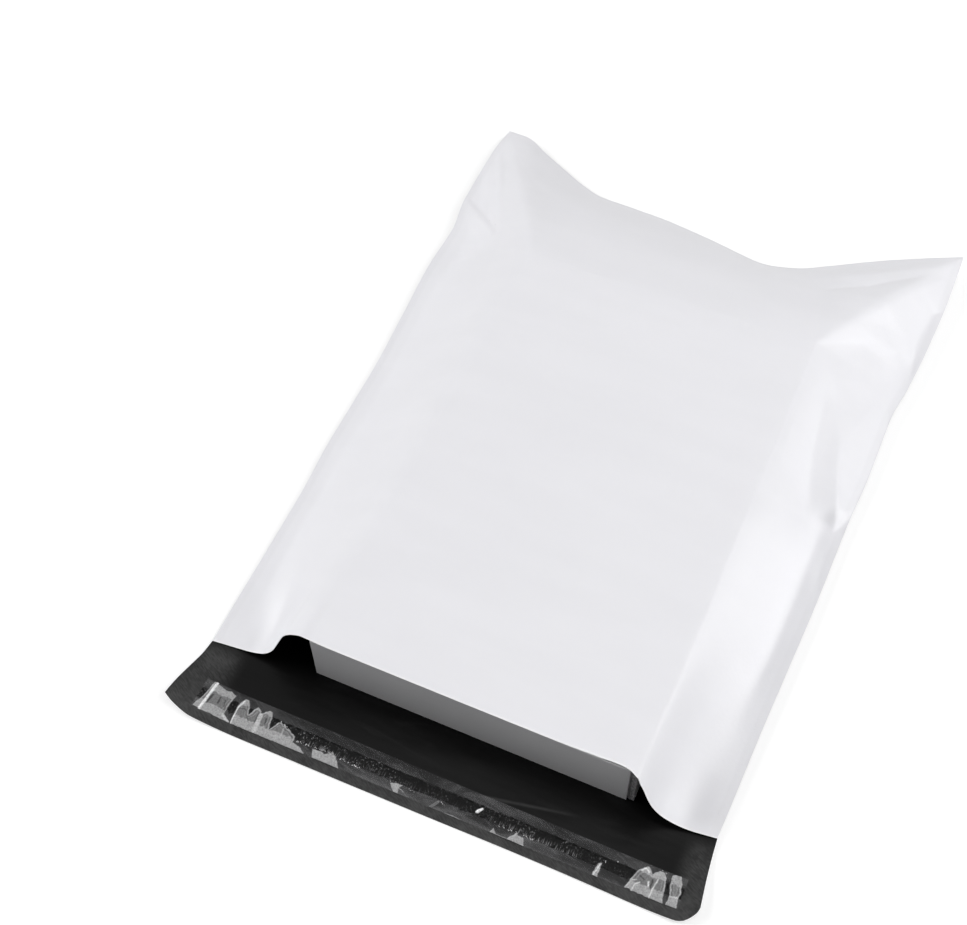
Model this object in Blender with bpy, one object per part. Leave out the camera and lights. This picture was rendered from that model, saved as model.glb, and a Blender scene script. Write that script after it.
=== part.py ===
"""Poly mailer bag lying open on its back, with a closed carton pushed inside.

Metres, +Z up. +Y runs from the flap to the closed end, +X across the bag.
The origin is at the middle of the outline, on the surface that the bag rests on.
"""
import math

import bmesh
import bpy
from mathutils import Vector

# Film pouch, sizes of the flat bag
POUCH_WIDTH = 0.3683
POUCH_LENGTH = 0.4826
FLAP_DEPTH = 0.0553
FLAP_SKEW = 0.0022
FILM_WALL = 0.0003
WELD_WIDTH = 0.006

# Carton inside the pouch
CARTON_WIDTH = 0.2045
CARTON_LENGTH = 0.3330
CARTON_HEIGHT = 0.0410
CARTON_BOARD = 0.0016
CARTON_SIDE_STEP = 0.0044
CARTON_SHIFT = 0.0030
CARTON_SET_BACK = 0.0002

# Glue band and its cover strip on the flap
LINER_WIDTH = 0.0190
LINER_LENGTH = 0.3060
LINER_MARGIN = 0.0060
LINER_SHIFT = -0.0035
LINER_WALL = 0.0002
GLUE_WIDTH = 0.0075
GLUE_MARGIN = 0.0115
GLUE_THICKNESS = 0.0003

# Clearance between pieces that touch
GAP = 0.0003

# How far the flap's corners are cut round, along and across
FLAP_CORNER_LEFT = (0.020, 0.006)
FLAP_CORNER_RIGHT = (0.012, 0.011)
# How far the flap's corners curl up off the surface, left and right, and over what width
FLAP_CURL_LEFT = 0.0075
FLAP_CURL_RIGHT = 0.0045
CURL_REACH_LEFT = 0.1215
CURL_REACH_RIGHT = 0.0885
# Share of the flap's depth over which it settles from the mouth line onto the surface
FLAP_SETTLE = 1 / 3
# How far the flap flares beyond the mouth's corners, left and right
FLAP_FLARE_LEFT = 0.0060
FLAP_FLARE_RIGHT = 0.0040

# Side welds: share of the pouch's length, share of the free film drawn in, share of the
# carton's height
LEFT_WELD = (
    (0.00, 0.200, 0.049), (0.12, 0.203, 0.098), (0.32, 0.166, 0.122), (0.45, 0.161, 0.122),
    (0.67, 0.092, 0.146), (0.75, 0.104, 0.171), (0.82, 0.054, 0.210), (1.00, 0.045, 0.183),
)
RIGHT_WELD = (
    (0.00, 0.355, 0.049), (0.13, 0.322, 0.098), (0.35, 0.260, 0.122), (0.50, 0.235, 0.122),
    (0.66, 0.195, 0.146), (0.72, 0.144, 0.159), (0.80, 0.096, 0.183), (1.00, 0.068, 0.244),
)
# Closed end: share of the pouch's width, share of the free film drawn in, share of the
# carton's height
END_FOLD = (
    (0.00, 0.028, 0.183), (0.055, 0.036, 0.183), (0.16, 0.165, 0.150), (0.27, 0.277, 0.134),
    (0.40, 0.290, 0.122), (0.53, 0.342, 0.122), (0.63, 0.391, 0.134), (0.70, 0.352, 0.159),
    (0.88, 0.122, 0.220), (1.00, 0.000, 0.244),
)
# Shares of the closed end that lie straight behind the carton's two back corners
END_LEFT = 0.27
END_RIGHT = 0.745
# How far the side rulings lead the carton's back edge at the welds, as a share of the length
CORNER_LEAD = 0.03
# The mouth's two corners lie forward of the lip on the carton by this much, left and right
MOUTH_LEAN_LEFT = 0.0070
MOUTH_LEAN_RIGHT = 0.0010
# The lip leans forward by this much where the film hangs beside the carton, left and right
LIP_BULGE_LEFT = 0.0010
LIP_BULGE_RIGHT = 0.0050

# Fall of the top film from the carton's edge to the weld: share of the way, share of the height
MOUTH_LEFT = (
    (0.00, 1.00), (0.08, 1.06), (0.16, 1.03), (0.23, 0.95), (0.29, 0.75), (0.40, 0.31),
    (0.52, 0.10), (0.68, 0.03), (1.00, 0.00),
)
MOUTH_RIGHT = (
    (0.00, 1.00), (0.06, 0.89), (0.14, 0.64), (0.23, 0.42), (0.32, 0.27), (0.42, 0.15),
    (0.55, 0.07), (0.70, 0.03), (1.00, 0.00),
)
SIDE_SLOPE = ((0.00, 1.00), (0.10, 0.92), (0.30, 0.68), (0.55, 0.36), (0.80, 0.10), (1.00, 0.00))
END_SLOPE = ((0.00, 1.00), (0.15, 0.93), (0.35, 0.77), (0.60, 0.51), (0.82, 0.24), (1.00, 0.00))
RIDGE = ((0.00, 1.00), (0.10, 0.94), (0.30, 0.75), (0.55, 0.48), (0.80, 0.21), (1.00, 0.00))
MOUTH_REACH = 0.110
# Share of the pouch's length over which the mouth's corners lean forward
LEAN_REACH = 0.17

# Faces along each stretch
SIDE_STEPS = 16
END_STEPS = 12
CORNER_STEPS = 8
TOP_STEPS = 8
BOTTOM_STEPS = 3
FLAP_STEPS = 6
STRIP_STEPS = 24

CARTON_LEFT = CARTON_SHIFT - CARTON_WIDTH / 2
CARTON_RIGHT = CARTON_SHIFT + CARTON_WIDTH / 2
CARTON_FRONT = -POUCH_LENGTH / 2 + CARTON_SET_BACK
CARTON_BACK = CARTON_FRONT + CARTON_LENGTH
CARTON_BASE = FILM_WALL + GAP
CARTON_TOP = CARTON_BASE + CARTON_HEIGHT
MOUTH_Y = -POUCH_LENGTH / 2
END_Y = POUCH_LENGTH / 2


def mix(a, b, share):
    return a + (b - a) * share


def ease(share):
    share = min(max(share, 0.0), 1.0)
    return share * share * (3 - 2 * share)


def follow(knots, at):
    """Smooth curve through knots (position, value, ...), without overshoot; returns the values."""
    last = len(knots) - 2
    k = 0
    while k < last and at > knots[k + 1][0]:
        k += 1
    here, there = knots[k], knots[k + 1]
    width = there[0] - here[0]
    share = min(max((at - here[0]) / width, 0.0), 1.0)
    values = []
    for c in range(1, len(here)):
        rise = (there[c] - here[c]) / width
        slopes = []
        for n, other in ((k, k - 1), (k + 1, k + 2)):
            if 0 <= other < len(knots):
                beside = (knots[other][c] - knots[n][c]) / (knots[other][0] - knots[n][0])
                same_way = beside * rise > 0
                slopes.append(2 * beside * rise / (beside + rise) if same_way else 0.0)
            else:
                slopes.append(rise)
        s2, s3 = share * share, share ** 3
        values.append(
            (2 * s3 - 3 * s2 + 1) * here[c] + (s3 - 2 * s2 + share) * width * slopes[0]
            + (3 * s2 - 2 * s3) * there[c] + (s3 - s2) * width * slopes[1])
    return values


def material(name, colour, roughness, alpha=1.0):
    made = bpy.data.materials.new(name)
    made.use_nodes = True
    shader = made.node_tree.nodes["Principled BSDF"]
    shader.inputs["Base Color"].default_value = (*colour, 1.0)
    shader.inputs["Roughness"].default_value = roughness
    shader.inputs["Metallic"].default_value = 0.0
    shader.inputs["Alpha"].default_value = alpha
    made.diffuse_color = (*colour, alpha)
    return made


class Sheet:
    """A closed solid built from named points, so that strips that meet share their points."""

    def __init__(self):
        self.bm = bmesh.new()
        self.points = {}

    def put(self, key, place):
        if key not in self.points:
            self.points[key] = self.bm.verts.new(place)

    def face(self, *keys):
        corners = []
        for key in keys:
            corner = self.points[key]
            if corner not in corners:
                corners.append(corner)
        if len(corners) > 2:
            return self.bm.faces.new(corners)
        return None

    def strip(self, first, second):
        """Two rows of keys, joined by triangles that always lean the same way."""
        for a, b, c, d in zip(first, first[1:], second[1:], second):
            self.face(a, b, c)
            self.face(a, c, d)

    def finish(self, name, look, smooth=True):
        bmesh.ops.recalc_face_normals(self.bm, faces=self.bm.faces)
        mesh = bpy.data.meshes.new(name)
        self.bm.to_mesh(mesh)
        self.bm.free()
        mesh.materials.append(look)
        if smooth:
            mesh.shade_smooth()
            mesh.set_sharp_from_angle(angle=math.radians(50))
        made = bpy.data.objects.new(name, mesh)
        bpy.context.scene.collection.objects.link(made)
        return made


# Outline of the pouch, seen from above

def weld_point(side, share):
    """A point on a side weld, at a share of the way from the mouth to the closed end."""
    free = POUCH_WIDTH / 2 - (-CARTON_LEFT if side < 0 else CARTON_RIGHT)
    drawn, rise = follow(LEFT_WELD if side < 0 else RIGHT_WELD, share)
    lean = (MOUTH_LEAN_LEFT if side < 0 else MOUTH_LEAN_RIGHT) * (1 - ease(share / LEAN_REACH))
    end_drawn = follow(END_FOLD, 0.0 if side < 0 else 1.0)[0] * (END_Y - CARTON_BACK)
    y = mix(MOUTH_Y - lean, END_Y - end_drawn, share)
    return Vector((side * (POUCH_WIDTH / 2 - drawn * free), y, rise * CARTON_HEIGHT))


def end_point(share):
    """A point on the closed end's fold, at a share of the way from left to right."""
    drawn, rise = follow(END_FOLD, share)
    x = mix(weld_point(-1, 1.0).x, weld_point(1, 1.0).x, share)
    return Vector((x, END_Y - drawn * (END_Y - CARTON_BACK), rise * CARTON_HEIGHT))


def stations():
    """Points on the carton's top edge, each with its partner on the outline, from the mouth's
    left corner round the closed end to the mouth's right corner. The corners' rulings fan out.
    Two weights go with each: how near it is to a corner's ridge, and to the closed end."""
    reach = (CARTON_BACK - MOUTH_Y) / POUCH_LENGTH + CORNER_LEAD
    left = CARTON_LEFT - GAP
    right = CARTON_RIGHT + GAP
    back = CARTON_BACK + GAP
    made = []
    for n in range(SIDE_STEPS):
        share = n / SIDE_STEPS
        made.append((Vector((left, mix(MOUTH_Y, back, share), 0)), weld_point(-1, share * reach), 0, 0))
    for n in range(CORNER_STEPS):
        share = 2 * n / CORNER_STEPS
        if share < 1:
            outer = weld_point(-1, mix(reach, 1.0, share))
        else:
            outer = end_point(mix(0.0, END_LEFT, share - 1))
        made.append((Vector((left, back, 0)), outer, 1 - abs(share - 1), share / 2))
    for n in range(END_STEPS):
        share = n / END_STEPS
        outer = end_point(mix(END_LEFT, END_RIGHT, share))
        made.append((Vector((mix(left, right, share), back, 0)), outer, 0, 1))
    for n in range(CORNER_STEPS):
        share = 2 * n / CORNER_STEPS
        if share < 1:
            outer = end_point(mix(END_RIGHT, 1.0, share))
        else:
            outer = weld_point(1, mix(1.0, reach, share - 1))
        made.append((Vector((right, back, 0)), outer, 1 - abs(share - 1), 1 - share / 2))
    for n in range(SIDE_STEPS + 1):
        share = 1 - n / SIDE_STEPS
        made.append((Vector((right, mix(MOUTH_Y, back, share), 0)), weld_point(1, share * reach), 0, 0))
    return made


def fall(station, side, share):
    """Share of the height left, at a share of the way from the carton's edge to the weld."""
    inner, _, ridge, end = station
    plain = mix(follow(SIDE_SLOPE, share)[0], follow(END_SLOPE, share)[0], end)
    plain = mix(plain, follow(RIDGE, share)[0], ridge)
    at_mouth = follow(MOUTH_LEFT if side < 0 else MOUTH_RIGHT, share)[0]
    return mix(at_mouth, plain, ease((inner.y - MOUTH_Y) / MOUTH_REACH))


def lip_bulge(inner, side, share):
    """How far the top film leans forward of the mouth line beside the carton."""
    bulge = LIP_BULGE_LEFT if side < 0 else LIP_BULGE_RIGHT
    return bulge * math.sin(math.pi * math.sqrt(share)) * (1 - ease((inner.y - MOUTH_Y) / MOUTH_REACH))


def film_rows(ring):
    """Faces of the front and the back film that look at each other, one row of points for each
    station: from the carton's edge to the inner line of the weld, and then the outer edge."""
    front_z = CARTON_TOP + GAP
    fronts, backs = [], []
    for station in ring:
        inner, outer = station[:2]
        side = -1 if inner.x < CARTON_SHIFT else 1
        way = Vector((outer.x - inner.x, outer.y - inner.y, 0))
        weld = 1 - WELD_WIDTH / way.length
        front, back = [], []
        for step in range(TOP_STEPS + 1):
            share = step / TOP_STEPS
            height = mix(outer.z + GAP / 2, front_z, fall(station, side, share))
            place = Vector((inner.x, inner.y, height)) + way * share * weld
            place.y -= lip_bulge(inner, side, share)
            front.append(place)
        for step in range(BOTTOM_STEPS + 1):
            share = step / BOTTOM_STEPS
            height = mix(FILM_WALL, outer.z - GAP / 2, share ** 2)
            back.append(Vector((inner.x, inner.y, height)) + way * share * weld)
        fronts.append(front + [outer + Vector((0, 0, GAP / 2))])
        backs.append(back + [outer - Vector((0, 0, GAP / 2))])
    return fronts, backs


def panel_place(n):
    """Column and row of the flat panel's point that ring station n starts from."""
    corner_left = SIDE_STEPS
    corner_right = SIDE_STEPS + CORNER_STEPS + END_STEPS
    if n <= corner_left:
        return 0, n
    if n <= corner_left + CORNER_STEPS:
        return 0, SIDE_STEPS
    if n <= corner_right:
        return n - corner_left - CORNER_STEPS, SIDE_STEPS
    if n <= corner_right + CORNER_STEPS:
        return END_STEPS, SIDE_STEPS
    return END_STEPS, corner_right + CORNER_STEPS + SIDE_STEPS - n


def slopes(sheet, rows, facing):
    """Put a film's two skins along every ruling, the one that faces in and the one that faces
    out, and join them. Returns each ruling's keys, by skin."""
    last = len(rows) - 1

    def key(skin, n, step):
        return (skin, "panel", *panel_place(n)) if step == 0 else (skin, n, step)

    def outward(n, step):
        along = rows[min(n + 1, last)][step] - rows[max(n - 1, 0)][step]
        across = rows[n][min(step + 1, len(rows[n]) - 1)] - rows[n][max(step - 1, 0)]
        made = along.cross(across).normalized()
        return made if made.z * facing > 0 else -made

    for n, row in enumerate(rows):
        for step in range(1, len(row)):
            place = row[step]
            wall = outward(n, step) * FILM_WALL
            if step == len(row) - 1:
                wall = Vector((0, 0, facing * FILM_WALL))
            outside = place + wall
            outside.z = max(outside.z, 0.0)
            sheet.put(("in", n, step), place)
            sheet.put(("out", n, step), outside)
    keys = {skin: [[key(skin, n, step) for step in range(len(row))] for n, row in enumerate(rows)]
            for skin in ("in", "out")}
    for skin in keys:
        for first, second in zip(keys[skin], keys[skin][1:]):
            sheet.strip(first, second)
    return keys


def mouth_line(keys):
    """A skin's keys along the mouth, from the left outer edge to the right one."""
    line = keys[0][::-1]
    line += [(line[-1][0], "panel", column, 0) for column in range(1, END_STEPS)]
    return line + keys[-1]


def front_film(look):
    """Front panel, lying on the carton, with its slopes down to the welds and the closed end."""
    sheet = Sheet()
    rows = film_rows(stations())[0]
    front_z = CARTON_TOP + GAP
    for column in range(END_STEPS + 1):
        x = mix(CARTON_LEFT - GAP, CARTON_RIGHT + GAP, column / END_STEPS)
        for row in range(SIDE_STEPS + 1):
            y = mix(MOUTH_Y, CARTON_BACK + GAP, row / SIDE_STEPS)
            sheet.put(("in", "panel", column, row), (x, y, front_z))
            sheet.put(("out", "panel", column, row), (x, y, front_z + FILM_WALL))
    for skin in ("in", "out"):
        for column in range(END_STEPS):
            sheet.strip([(skin, "panel", column, row) for row in range(SIDE_STEPS + 1)],
                        [(skin, "panel", column + 1, row) for row in range(SIDE_STEPS + 1)])
    keys = slopes(sheet, rows, 1)
    sheet.strip(mouth_line(keys["in"]), mouth_line(keys["out"]))
    sheet.strip([row[-1] for row in keys["in"]], [row[-1] for row in keys["out"]])
    return sheet.finish("front_film", look)


def back_film(look):
    """Back panel, flat under the carton and lifted at the welds, carried on into the flap."""
    sheet = Sheet()
    rows = film_rows(stations())[1]
    for column in range(END_STEPS + 1):
        x = mix(CARTON_LEFT - GAP, CARTON_RIGHT + GAP, column / END_STEPS)
        for row in range(SIDE_STEPS + 1):
            if row in (0, SIDE_STEPS) or column in (0, END_STEPS):
                y = mix(MOUTH_Y, CARTON_BACK + GAP, row / SIDE_STEPS)
                sheet.put(("in", "panel", column, row), (x, y, FILM_WALL))
                sheet.put(("out", "panel", column, row), (x, y, 0.0))
    for skin in ("in", "out"):
        loop = [(skin, "panel", 0, row) for row in range(SIDE_STEPS + 1)]
        loop += [(skin, "panel", column, SIDE_STEPS) for column in range(1, END_STEPS + 1)]
        loop += [(skin, "panel", END_STEPS, row) for row in range(SIDE_STEPS - 1, -1, -1)]
        loop += [(skin, "panel", column, 0) for column in range(END_STEPS - 1, 0, -1)]
        sheet.face(*loop)
    keys = slopes(sheet, rows, -1)
    sheet.strip([row[-1] for row in keys["in"]], [row[-1] for row in keys["out"]])

    # Flap: the back film carried on past the mouth
    first_in, first_out = mouth_line(keys["in"]), mouth_line(keys["out"])
    rows_in, rows_out = [first_in], [first_out]
    for step in range(1, FLAP_STEPS + 1):
        row_in, row_out = [], []
        for column, name in enumerate(first_in):
            place = flap_place(sheet.points[name].co, step / FLAP_STEPS)
            row_in.append(("in", "flap", column, step))
            row_out.append(("out", "flap", column, step))
            sheet.put(row_in[-1], place)
            sheet.put(row_out[-1], place - Vector((0, 0, FILM_WALL)))
        rows_in.append(row_in)
        rows_out.append(row_out)
    for rows in (rows_in, rows_out):
        for first, second in zip(rows, rows[1:]):
            sheet.strip(first, second)
    for column in (0, -1):
        sheet.strip([row[column] for row in rows_in], [row[column] for row in rows_out])
    sheet.strip(rows_in[-1], rows_out[-1])
    return sheet.finish("back_film", look)


# Flap and what lies on it

def flap_height(x, y):
    """Height of the flap's upper face over the surface it rests on."""
    share = (MOUTH_Y - y) / FLAP_DEPTH
    left = weld_point(-1, 0.0)
    right = weld_point(1, 0.0)
    near_left = 1 - (x - left.x) / CURL_REACH_LEFT
    near_right = 1 - (right.x - x) / CURL_REACH_RIGHT
    curl = FLAP_CURL_LEFT * max(near_left, 0) ** 2 * ease(share)
    curl += FLAP_CURL_RIGHT * max(near_right, 0) ** 2 * ease(share)
    return FILM_WALL + curl


def flap_place(root, share):
    """A point of the flap's upper face, carried forward from a point on the mouth line."""
    left = weld_point(-1, 0.0)
    right = weld_point(1, 0.0)
    across = (root.x - left.x) / (right.x - left.x)
    flare = mix(-FLAP_FLARE_LEFT, FLAP_FLARE_RIGHT, ease(across))
    x = root.x + flare * share
    end_y = MOUTH_Y - FLAP_DEPTH + FLAP_SKEW * (across - 0.5)
    for reach, depth, edge in ((*FLAP_CORNER_LEFT, root.x - left.x),
                               (*FLAP_CORNER_RIGHT, right.x - root.x)):
        if edge < reach:
            end_y += depth * (1 - math.sqrt(1 - (1 - edge / reach) ** 2))
    y = mix(root.y, end_y, share)
    height = mix(root.z, flap_height(x, y), ease(share / FLAP_SETTLE))
    return Vector((x, y, height))


def strip_on_flap(name, look, length, width, margin, thickness, lift):
    """A thin strip that follows the flap's upper face, at a margin from the flap's end."""
    sheet = Sheet()
    near = MOUTH_Y - FLAP_DEPTH + margin
    lines = len(lift)
    for column in range(STRIP_STEPS + 1):
        x = LINER_SHIFT + mix(-length / 2, length / 2, column / STRIP_STEPS)
        for line in range(lines):
            y = near + width * line / (lines - 1)
            base = flap_height(x, y) + lift[line]
            sheet.put(("low", column, line), (x, y, base))
            sheet.put(("high", column, line), (x, y, base + thickness))
    for skin in ("low", "high"):
        for column in range(STRIP_STEPS):
            sheet.strip([(skin, column, line) for line in range(lines)],
                        [(skin, column + 1, line) for line in range(lines)])
    for column in (0, STRIP_STEPS):
        sheet.strip([("low", column, line) for line in range(lines)],
                    [("high", column, line) for line in range(lines)])
    for line in (0, lines - 1):
        sheet.strip([("low", column, line) for column in range(STRIP_STEPS + 1)],
                    [("high", column, line) for column in range(STRIP_STEPS + 1)])
    return sheet.finish(name, look)


def closed_carton(look):
    """The carton: a block whose front flap laps over the side wall and stops short of the corner."""
    front = CARTON_FRONT
    step_y = front + CARTON_BOARD
    step_x = CARTON_RIGHT - CARTON_SIDE_STEP
    outline = (
        (CARTON_LEFT, front), (step_x, front), (step_x, step_y), (CARTON_RIGHT, step_y),
        (CARTON_RIGHT, CARTON_BACK), (CARTON_LEFT, CARTON_BACK),
    )
    bm = bmesh.new()
    base = bm.faces.new([bm.verts.new((x, y, CARTON_BASE)) for x, y in outline])
    risen = bmesh.ops.extrude_face_region(bm, geom=[base])
    top = [item for item in risen["geom"] if isinstance(item, bmesh.types.BMVert)]
    bmesh.ops.translate(bm, verts=top, vec=(0, 0, CARTON_HEIGHT))
    bmesh.ops.recalc_face_normals(bm, faces=bm.faces)
    mesh = bpy.data.meshes.new("carton")
    bm.to_mesh(mesh)
    bm.free()
    mesh.materials.append(look)
    made = bpy.data.objects.new("carton", mesh)
    bpy.context.scene.collection.objects.link(made)
    edges = made.modifiers.new("board edges", "BEVEL")
    edges.width = CARTON_BOARD / 3
    edges.segments = 2
    edges.limit_method = "ANGLE"
    return made


def centre_on_origin(pieces):
    """Move every piece so that the back film's outline is centred on the origin."""
    film = pieces[0].data
    for axis in (0, 1):
        places = [vertex.co[axis] for vertex in film.vertices]
        middle = (min(places) + max(places)) / 2
        for piece in pieces:
            for vertex in piece.data.vertices:
                vertex.co[axis] -= middle


def build():
    for old in list(bpy.data.objects):
        bpy.data.objects.remove(old)
    film = material("white_film", (0.86, 0.86, 0.88), 0.35)
    pieces = [
        back_film(film),
        front_film(film),
        strip_on_flap("adhesive_strip", material("hot_melt_glue", (0.03, 0.03, 0.03), 0.25),
                      LINER_LENGTH - 2 * GLUE_THICKNESS, GLUE_WIDTH, GLUE_MARGIN,
                      GLUE_THICKNESS, (GAP, GAP)),
        strip_on_flap("release_liner", material("clear_liner", (0.55, 0.56, 0.58), 0.12, 0.4),
                      LINER_LENGTH, LINER_WIDTH, LINER_MARGIN, LINER_WALL,
                      [GAP] + [2 * GAP + GLUE_THICKNESS] * 3 + [GAP]),
        closed_carton(material("white_board", (0.82, 0.82, 0.84), 0.6)),
    ]
    centre_on_origin(pieces)


build()
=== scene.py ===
# %% [markdown]
# # A poly mailer bag with a flat carton pushed inside
# The bag is one web of thin polythene, white outside and black inside, folded across the
# closed end and welded up both sides. The back film runs on past the mouth as a flap with a
# band of hot-melt glue under a clear cover strip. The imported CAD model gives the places; this
# script gives the film its real folds, and every piece its finish.

import math

import bmesh
import bpy
import numpy as np
from mathutils import Matrix, Vector
from mathutils.geometry import delaunay_2d_cdt


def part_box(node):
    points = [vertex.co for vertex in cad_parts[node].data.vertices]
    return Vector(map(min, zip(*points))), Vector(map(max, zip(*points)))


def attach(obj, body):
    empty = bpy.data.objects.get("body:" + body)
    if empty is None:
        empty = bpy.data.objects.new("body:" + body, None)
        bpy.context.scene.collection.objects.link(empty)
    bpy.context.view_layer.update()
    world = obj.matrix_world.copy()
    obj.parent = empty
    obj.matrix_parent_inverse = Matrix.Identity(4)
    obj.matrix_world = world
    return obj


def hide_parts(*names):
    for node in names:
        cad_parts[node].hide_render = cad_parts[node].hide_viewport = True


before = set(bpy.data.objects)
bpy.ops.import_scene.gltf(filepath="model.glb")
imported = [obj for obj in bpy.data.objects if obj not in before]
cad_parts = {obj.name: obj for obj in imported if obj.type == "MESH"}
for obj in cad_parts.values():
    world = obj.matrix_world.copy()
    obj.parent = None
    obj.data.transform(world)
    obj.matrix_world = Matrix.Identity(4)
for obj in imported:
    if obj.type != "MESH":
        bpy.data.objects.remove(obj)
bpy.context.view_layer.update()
MM = 0.001
carton_low, carton_high = (np.array(corner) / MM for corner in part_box("carton"))

# %% [markdown]
# ## Helpers for curves
# Film edges are smooth lines through a few measured points. A cubic that never overshoots its
# knots keeps a measured outline calm, and the same helper serves for slope profiles.

# %% Curves through knots
def through(knots, at):
    """Values at positions, on a smooth curve through knots (position, value, ...)."""
    knots = np.asarray(knots, float)
    at = np.clip(np.asarray(at, float), knots[0, 0], knots[-1, 0])
    x, y = knots[:, 0], knots[:, 1:]
    width = np.diff(x)[:, None]
    rise = np.diff(y, axis=0) / width
    total = rise[:-1] + rise[1:]
    same = rise[:-1] * rise[1:] > 0
    inner = np.where(same, 2 * rise[:-1] * rise[1:] / np.where(same, total, 1), 0)
    slope = np.vstack([rise[:1], inner, rise[-1:]])
    k = np.clip(np.searchsorted(x, at, side="right") - 1, 0, len(x) - 2)
    w = width[k]
    t = (at - x[k])[..., None] / w
    t2, t3 = t * t, t * t * t
    values = ((2 * t3 - 3 * t2 + 1) * y[k] + (t3 - 2 * t2 + t) * w * slope[k]
              + (3 * t2 - 2 * t3) * y[k + 1] + (t3 - t2) * w * slope[k + 1])
    return values[..., 0] if values.shape[-1] == 1 else values


def along(points, shares):
    """Points at shares of the length of a smooth line through points."""
    points = np.asarray(points, float)
    steps = np.linalg.norm(np.diff(points, axis=0), axis=1)
    reach = np.concatenate([[0], np.cumsum(steps)])
    return through(np.column_stack([reach / reach[-1], points]), shares)


def ease(share):
    share = np.clip(share, 0, 1)
    return share * share * (3 - 2 * share)


def mix(a, b, share):
    return a + (b - a) * share


def spaced(cells, first, last):
    """Shares from 0 to 1 in cells steps, with the end steps this much finer than the middle."""
    weights = np.ones(cells)
    ramp = np.linspace(0, 1, cells)
    weights *= mix(first, 1, ease(ramp * 4)) * mix(last, 1, ease((1 - ramp) * 4))
    return np.concatenate([[0], np.cumsum(weights)]) / weights.sum()


# %% [markdown]
# ## The bag's outline
# The two side welds, the closed end and the mouth's lip were measured from the photograph in
# millimetres, in the CAD model's frame. The carton lifts the front film, so the free film is
# drawn in between the corners: that is why the closed end curves inwards.

# %% Outline of the bag
LEFT_WELD = (
    (-166.8, -220.0, 2.0), (-167.0, -186.5, 3.2), (-166.9, -153.8, 4.2), (-167.4, -105.2, 5.0),
    (-169.9, -58.0, 5.0), (-170.2, 2.2, 5.4), (-173.3, 64.2, 6.0), (-175.8, 111.4, 7.0),
    (-174.6, 146.8, 8.0), (-179.0, 180.4, 8.8), (-180.3, 239.6, 8.4), (-178.0, 263.8, 7.5),
)
RIGHT_WELD = (
    (156.7, -214.2, 2.0), (157.8, -188.6, 3.2), (159.3, -148.2, 4.4), (161.8, -98.2, 5.0),
    (164.4, -45.0, 5.2), (166.1, 15.8, 5.6), (168.4, 54.0, 6.2), (169.3, 107.2, 7.0),
    (173.3, 136.0, 8.0), (177.0, 175.6, 9.2), (179.4, 224.8, 10.5), (179.6, 268.6, 11.0),
)
CLOSED_END = (
    (-178.0, 263.8, 7.5), (-163.4, 263.0, 7.5), (-143.5, 253.2, 6.6), (-123.9, 242.9, 6.2),
    (-103.4, 232.6, 5.8), (-84.8, 226.4, 5.5), (-60.0, 225.3, 5.2), (-35.8, 223.9, 5.0),
    (-12.0, 220.6, 5.0), (11.3, 216.6, 5.0), (30.0, 212.4, 5.2), (47.0, 209.6, 5.6),
    (70.3, 213.8, 6.6), (91.6, 223.4, 8.4), (115.0, 235.6, 10.4), (139.0, 247.8, 11.6),
    (160.0, 258.6, 11.6), (179.6, 268.6, 11.0),
)
LIP_LEFT = (
    (-166.8, -220.0, 2.0), (-157.5, -219.0, 1.8), (-144.5, -218.2, 3.0), (-133.5, -217.4, 6.6),
    (-126.2, -216.7, 14.0), (-118.3, -215.8, 32.0), (-114.6, -215.2, 40.0), (-110.0, -214.4, 43.3),
    (-104.6, -213.7, 44.5), (-99.4, -213.2, 43.0),
)
LIP_OVER = (
    (-99.4, -213.2, 43.0), (-92.0, -213.1, 42.2), (-60.0, -213.1, 41.9), (0.0, -213.1, 41.9),
    (50.0, -213.0, 42.0), (80.0, -212.8, 42.7), (95.5, -212.6, 43.8), (101.0, -213.4, 43.4),
    (106.0, -215.6, 42.0),
)
LIP_RIGHT = (
    (106.0, -215.6, 42.0), (108.8, -217.4, 38.0), (117.5, -218.4, 18.3), (127.0, -217.6, 7.8),
    (140.8, -216.4, 3.4), (156.7, -214.2, 2.0),
)
WELD_BAND = 2.0
END_BAND = 0.8
FILM_WALL = 0.26
LENGTH = CLOSED_END[0][1] - LEFT_WELD[0][1]
print(f"bag: {RIGHT_WELD[0][0] - LEFT_WELD[0][0]:.0f} mm across the mouth, {LENGTH:.0f} mm long")

# %% [markdown]
# ## How the film stands over the carton
# Stretched film makes straight rulings from the carton's edge to the weld. Each slope is a
# height profile along those rulings: 1 on the carton, 0 at the weld. The left side runs out
# into a flat band beside the weld, the right side only in its front half, and beside the mouth
# it falls more evenly. Trapped air puffs up the end.

# %% Slope profiles and the grid's steps
LEFT_SLOPE = ((0, 1), (0.07, 0.965), (0.22, 0.78), (0.42, 0.47), (0.62, 0.21), (0.78, 0.055),
              (0.87, 0.0), (1, 0))
RIGHT_SLOPE = ((0, 1), (0.06, 0.93), (0.30, 0.62), (0.55, 0.31), (0.80, 0.09), (1, 0))
RIGHT_FRONT_SLOPE = ((0, 1), (0.06, 0.94), (0.28, 0.66), (0.50, 0.37), (0.68, 0.13), (0.76, 0.03),
                     (0.80, 0.005), (1, 0))
END_SLOPE = ((0, 1), (0.18, 0.92), (0.42, 0.755), (0.64, 0.55), (0.80, 0.34), (0.91, 0.16), (1, 0))
RIDGE_LEFT, RIDGE_RIGHT = 0.06, 0.10
RIDGE_SPREAD = 0.16
MOUTH_REACH = {-1: 85.0, 1: 135.0}
RIGHT_MOUTH_SLOPE = ((0, 1), (0.06, 0.94), (0.26, 0.715), (0.46, 0.49), (0.62, 0.315),
                     (0.78, 0.155), (0.90, 0.05), (1, 0))
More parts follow.
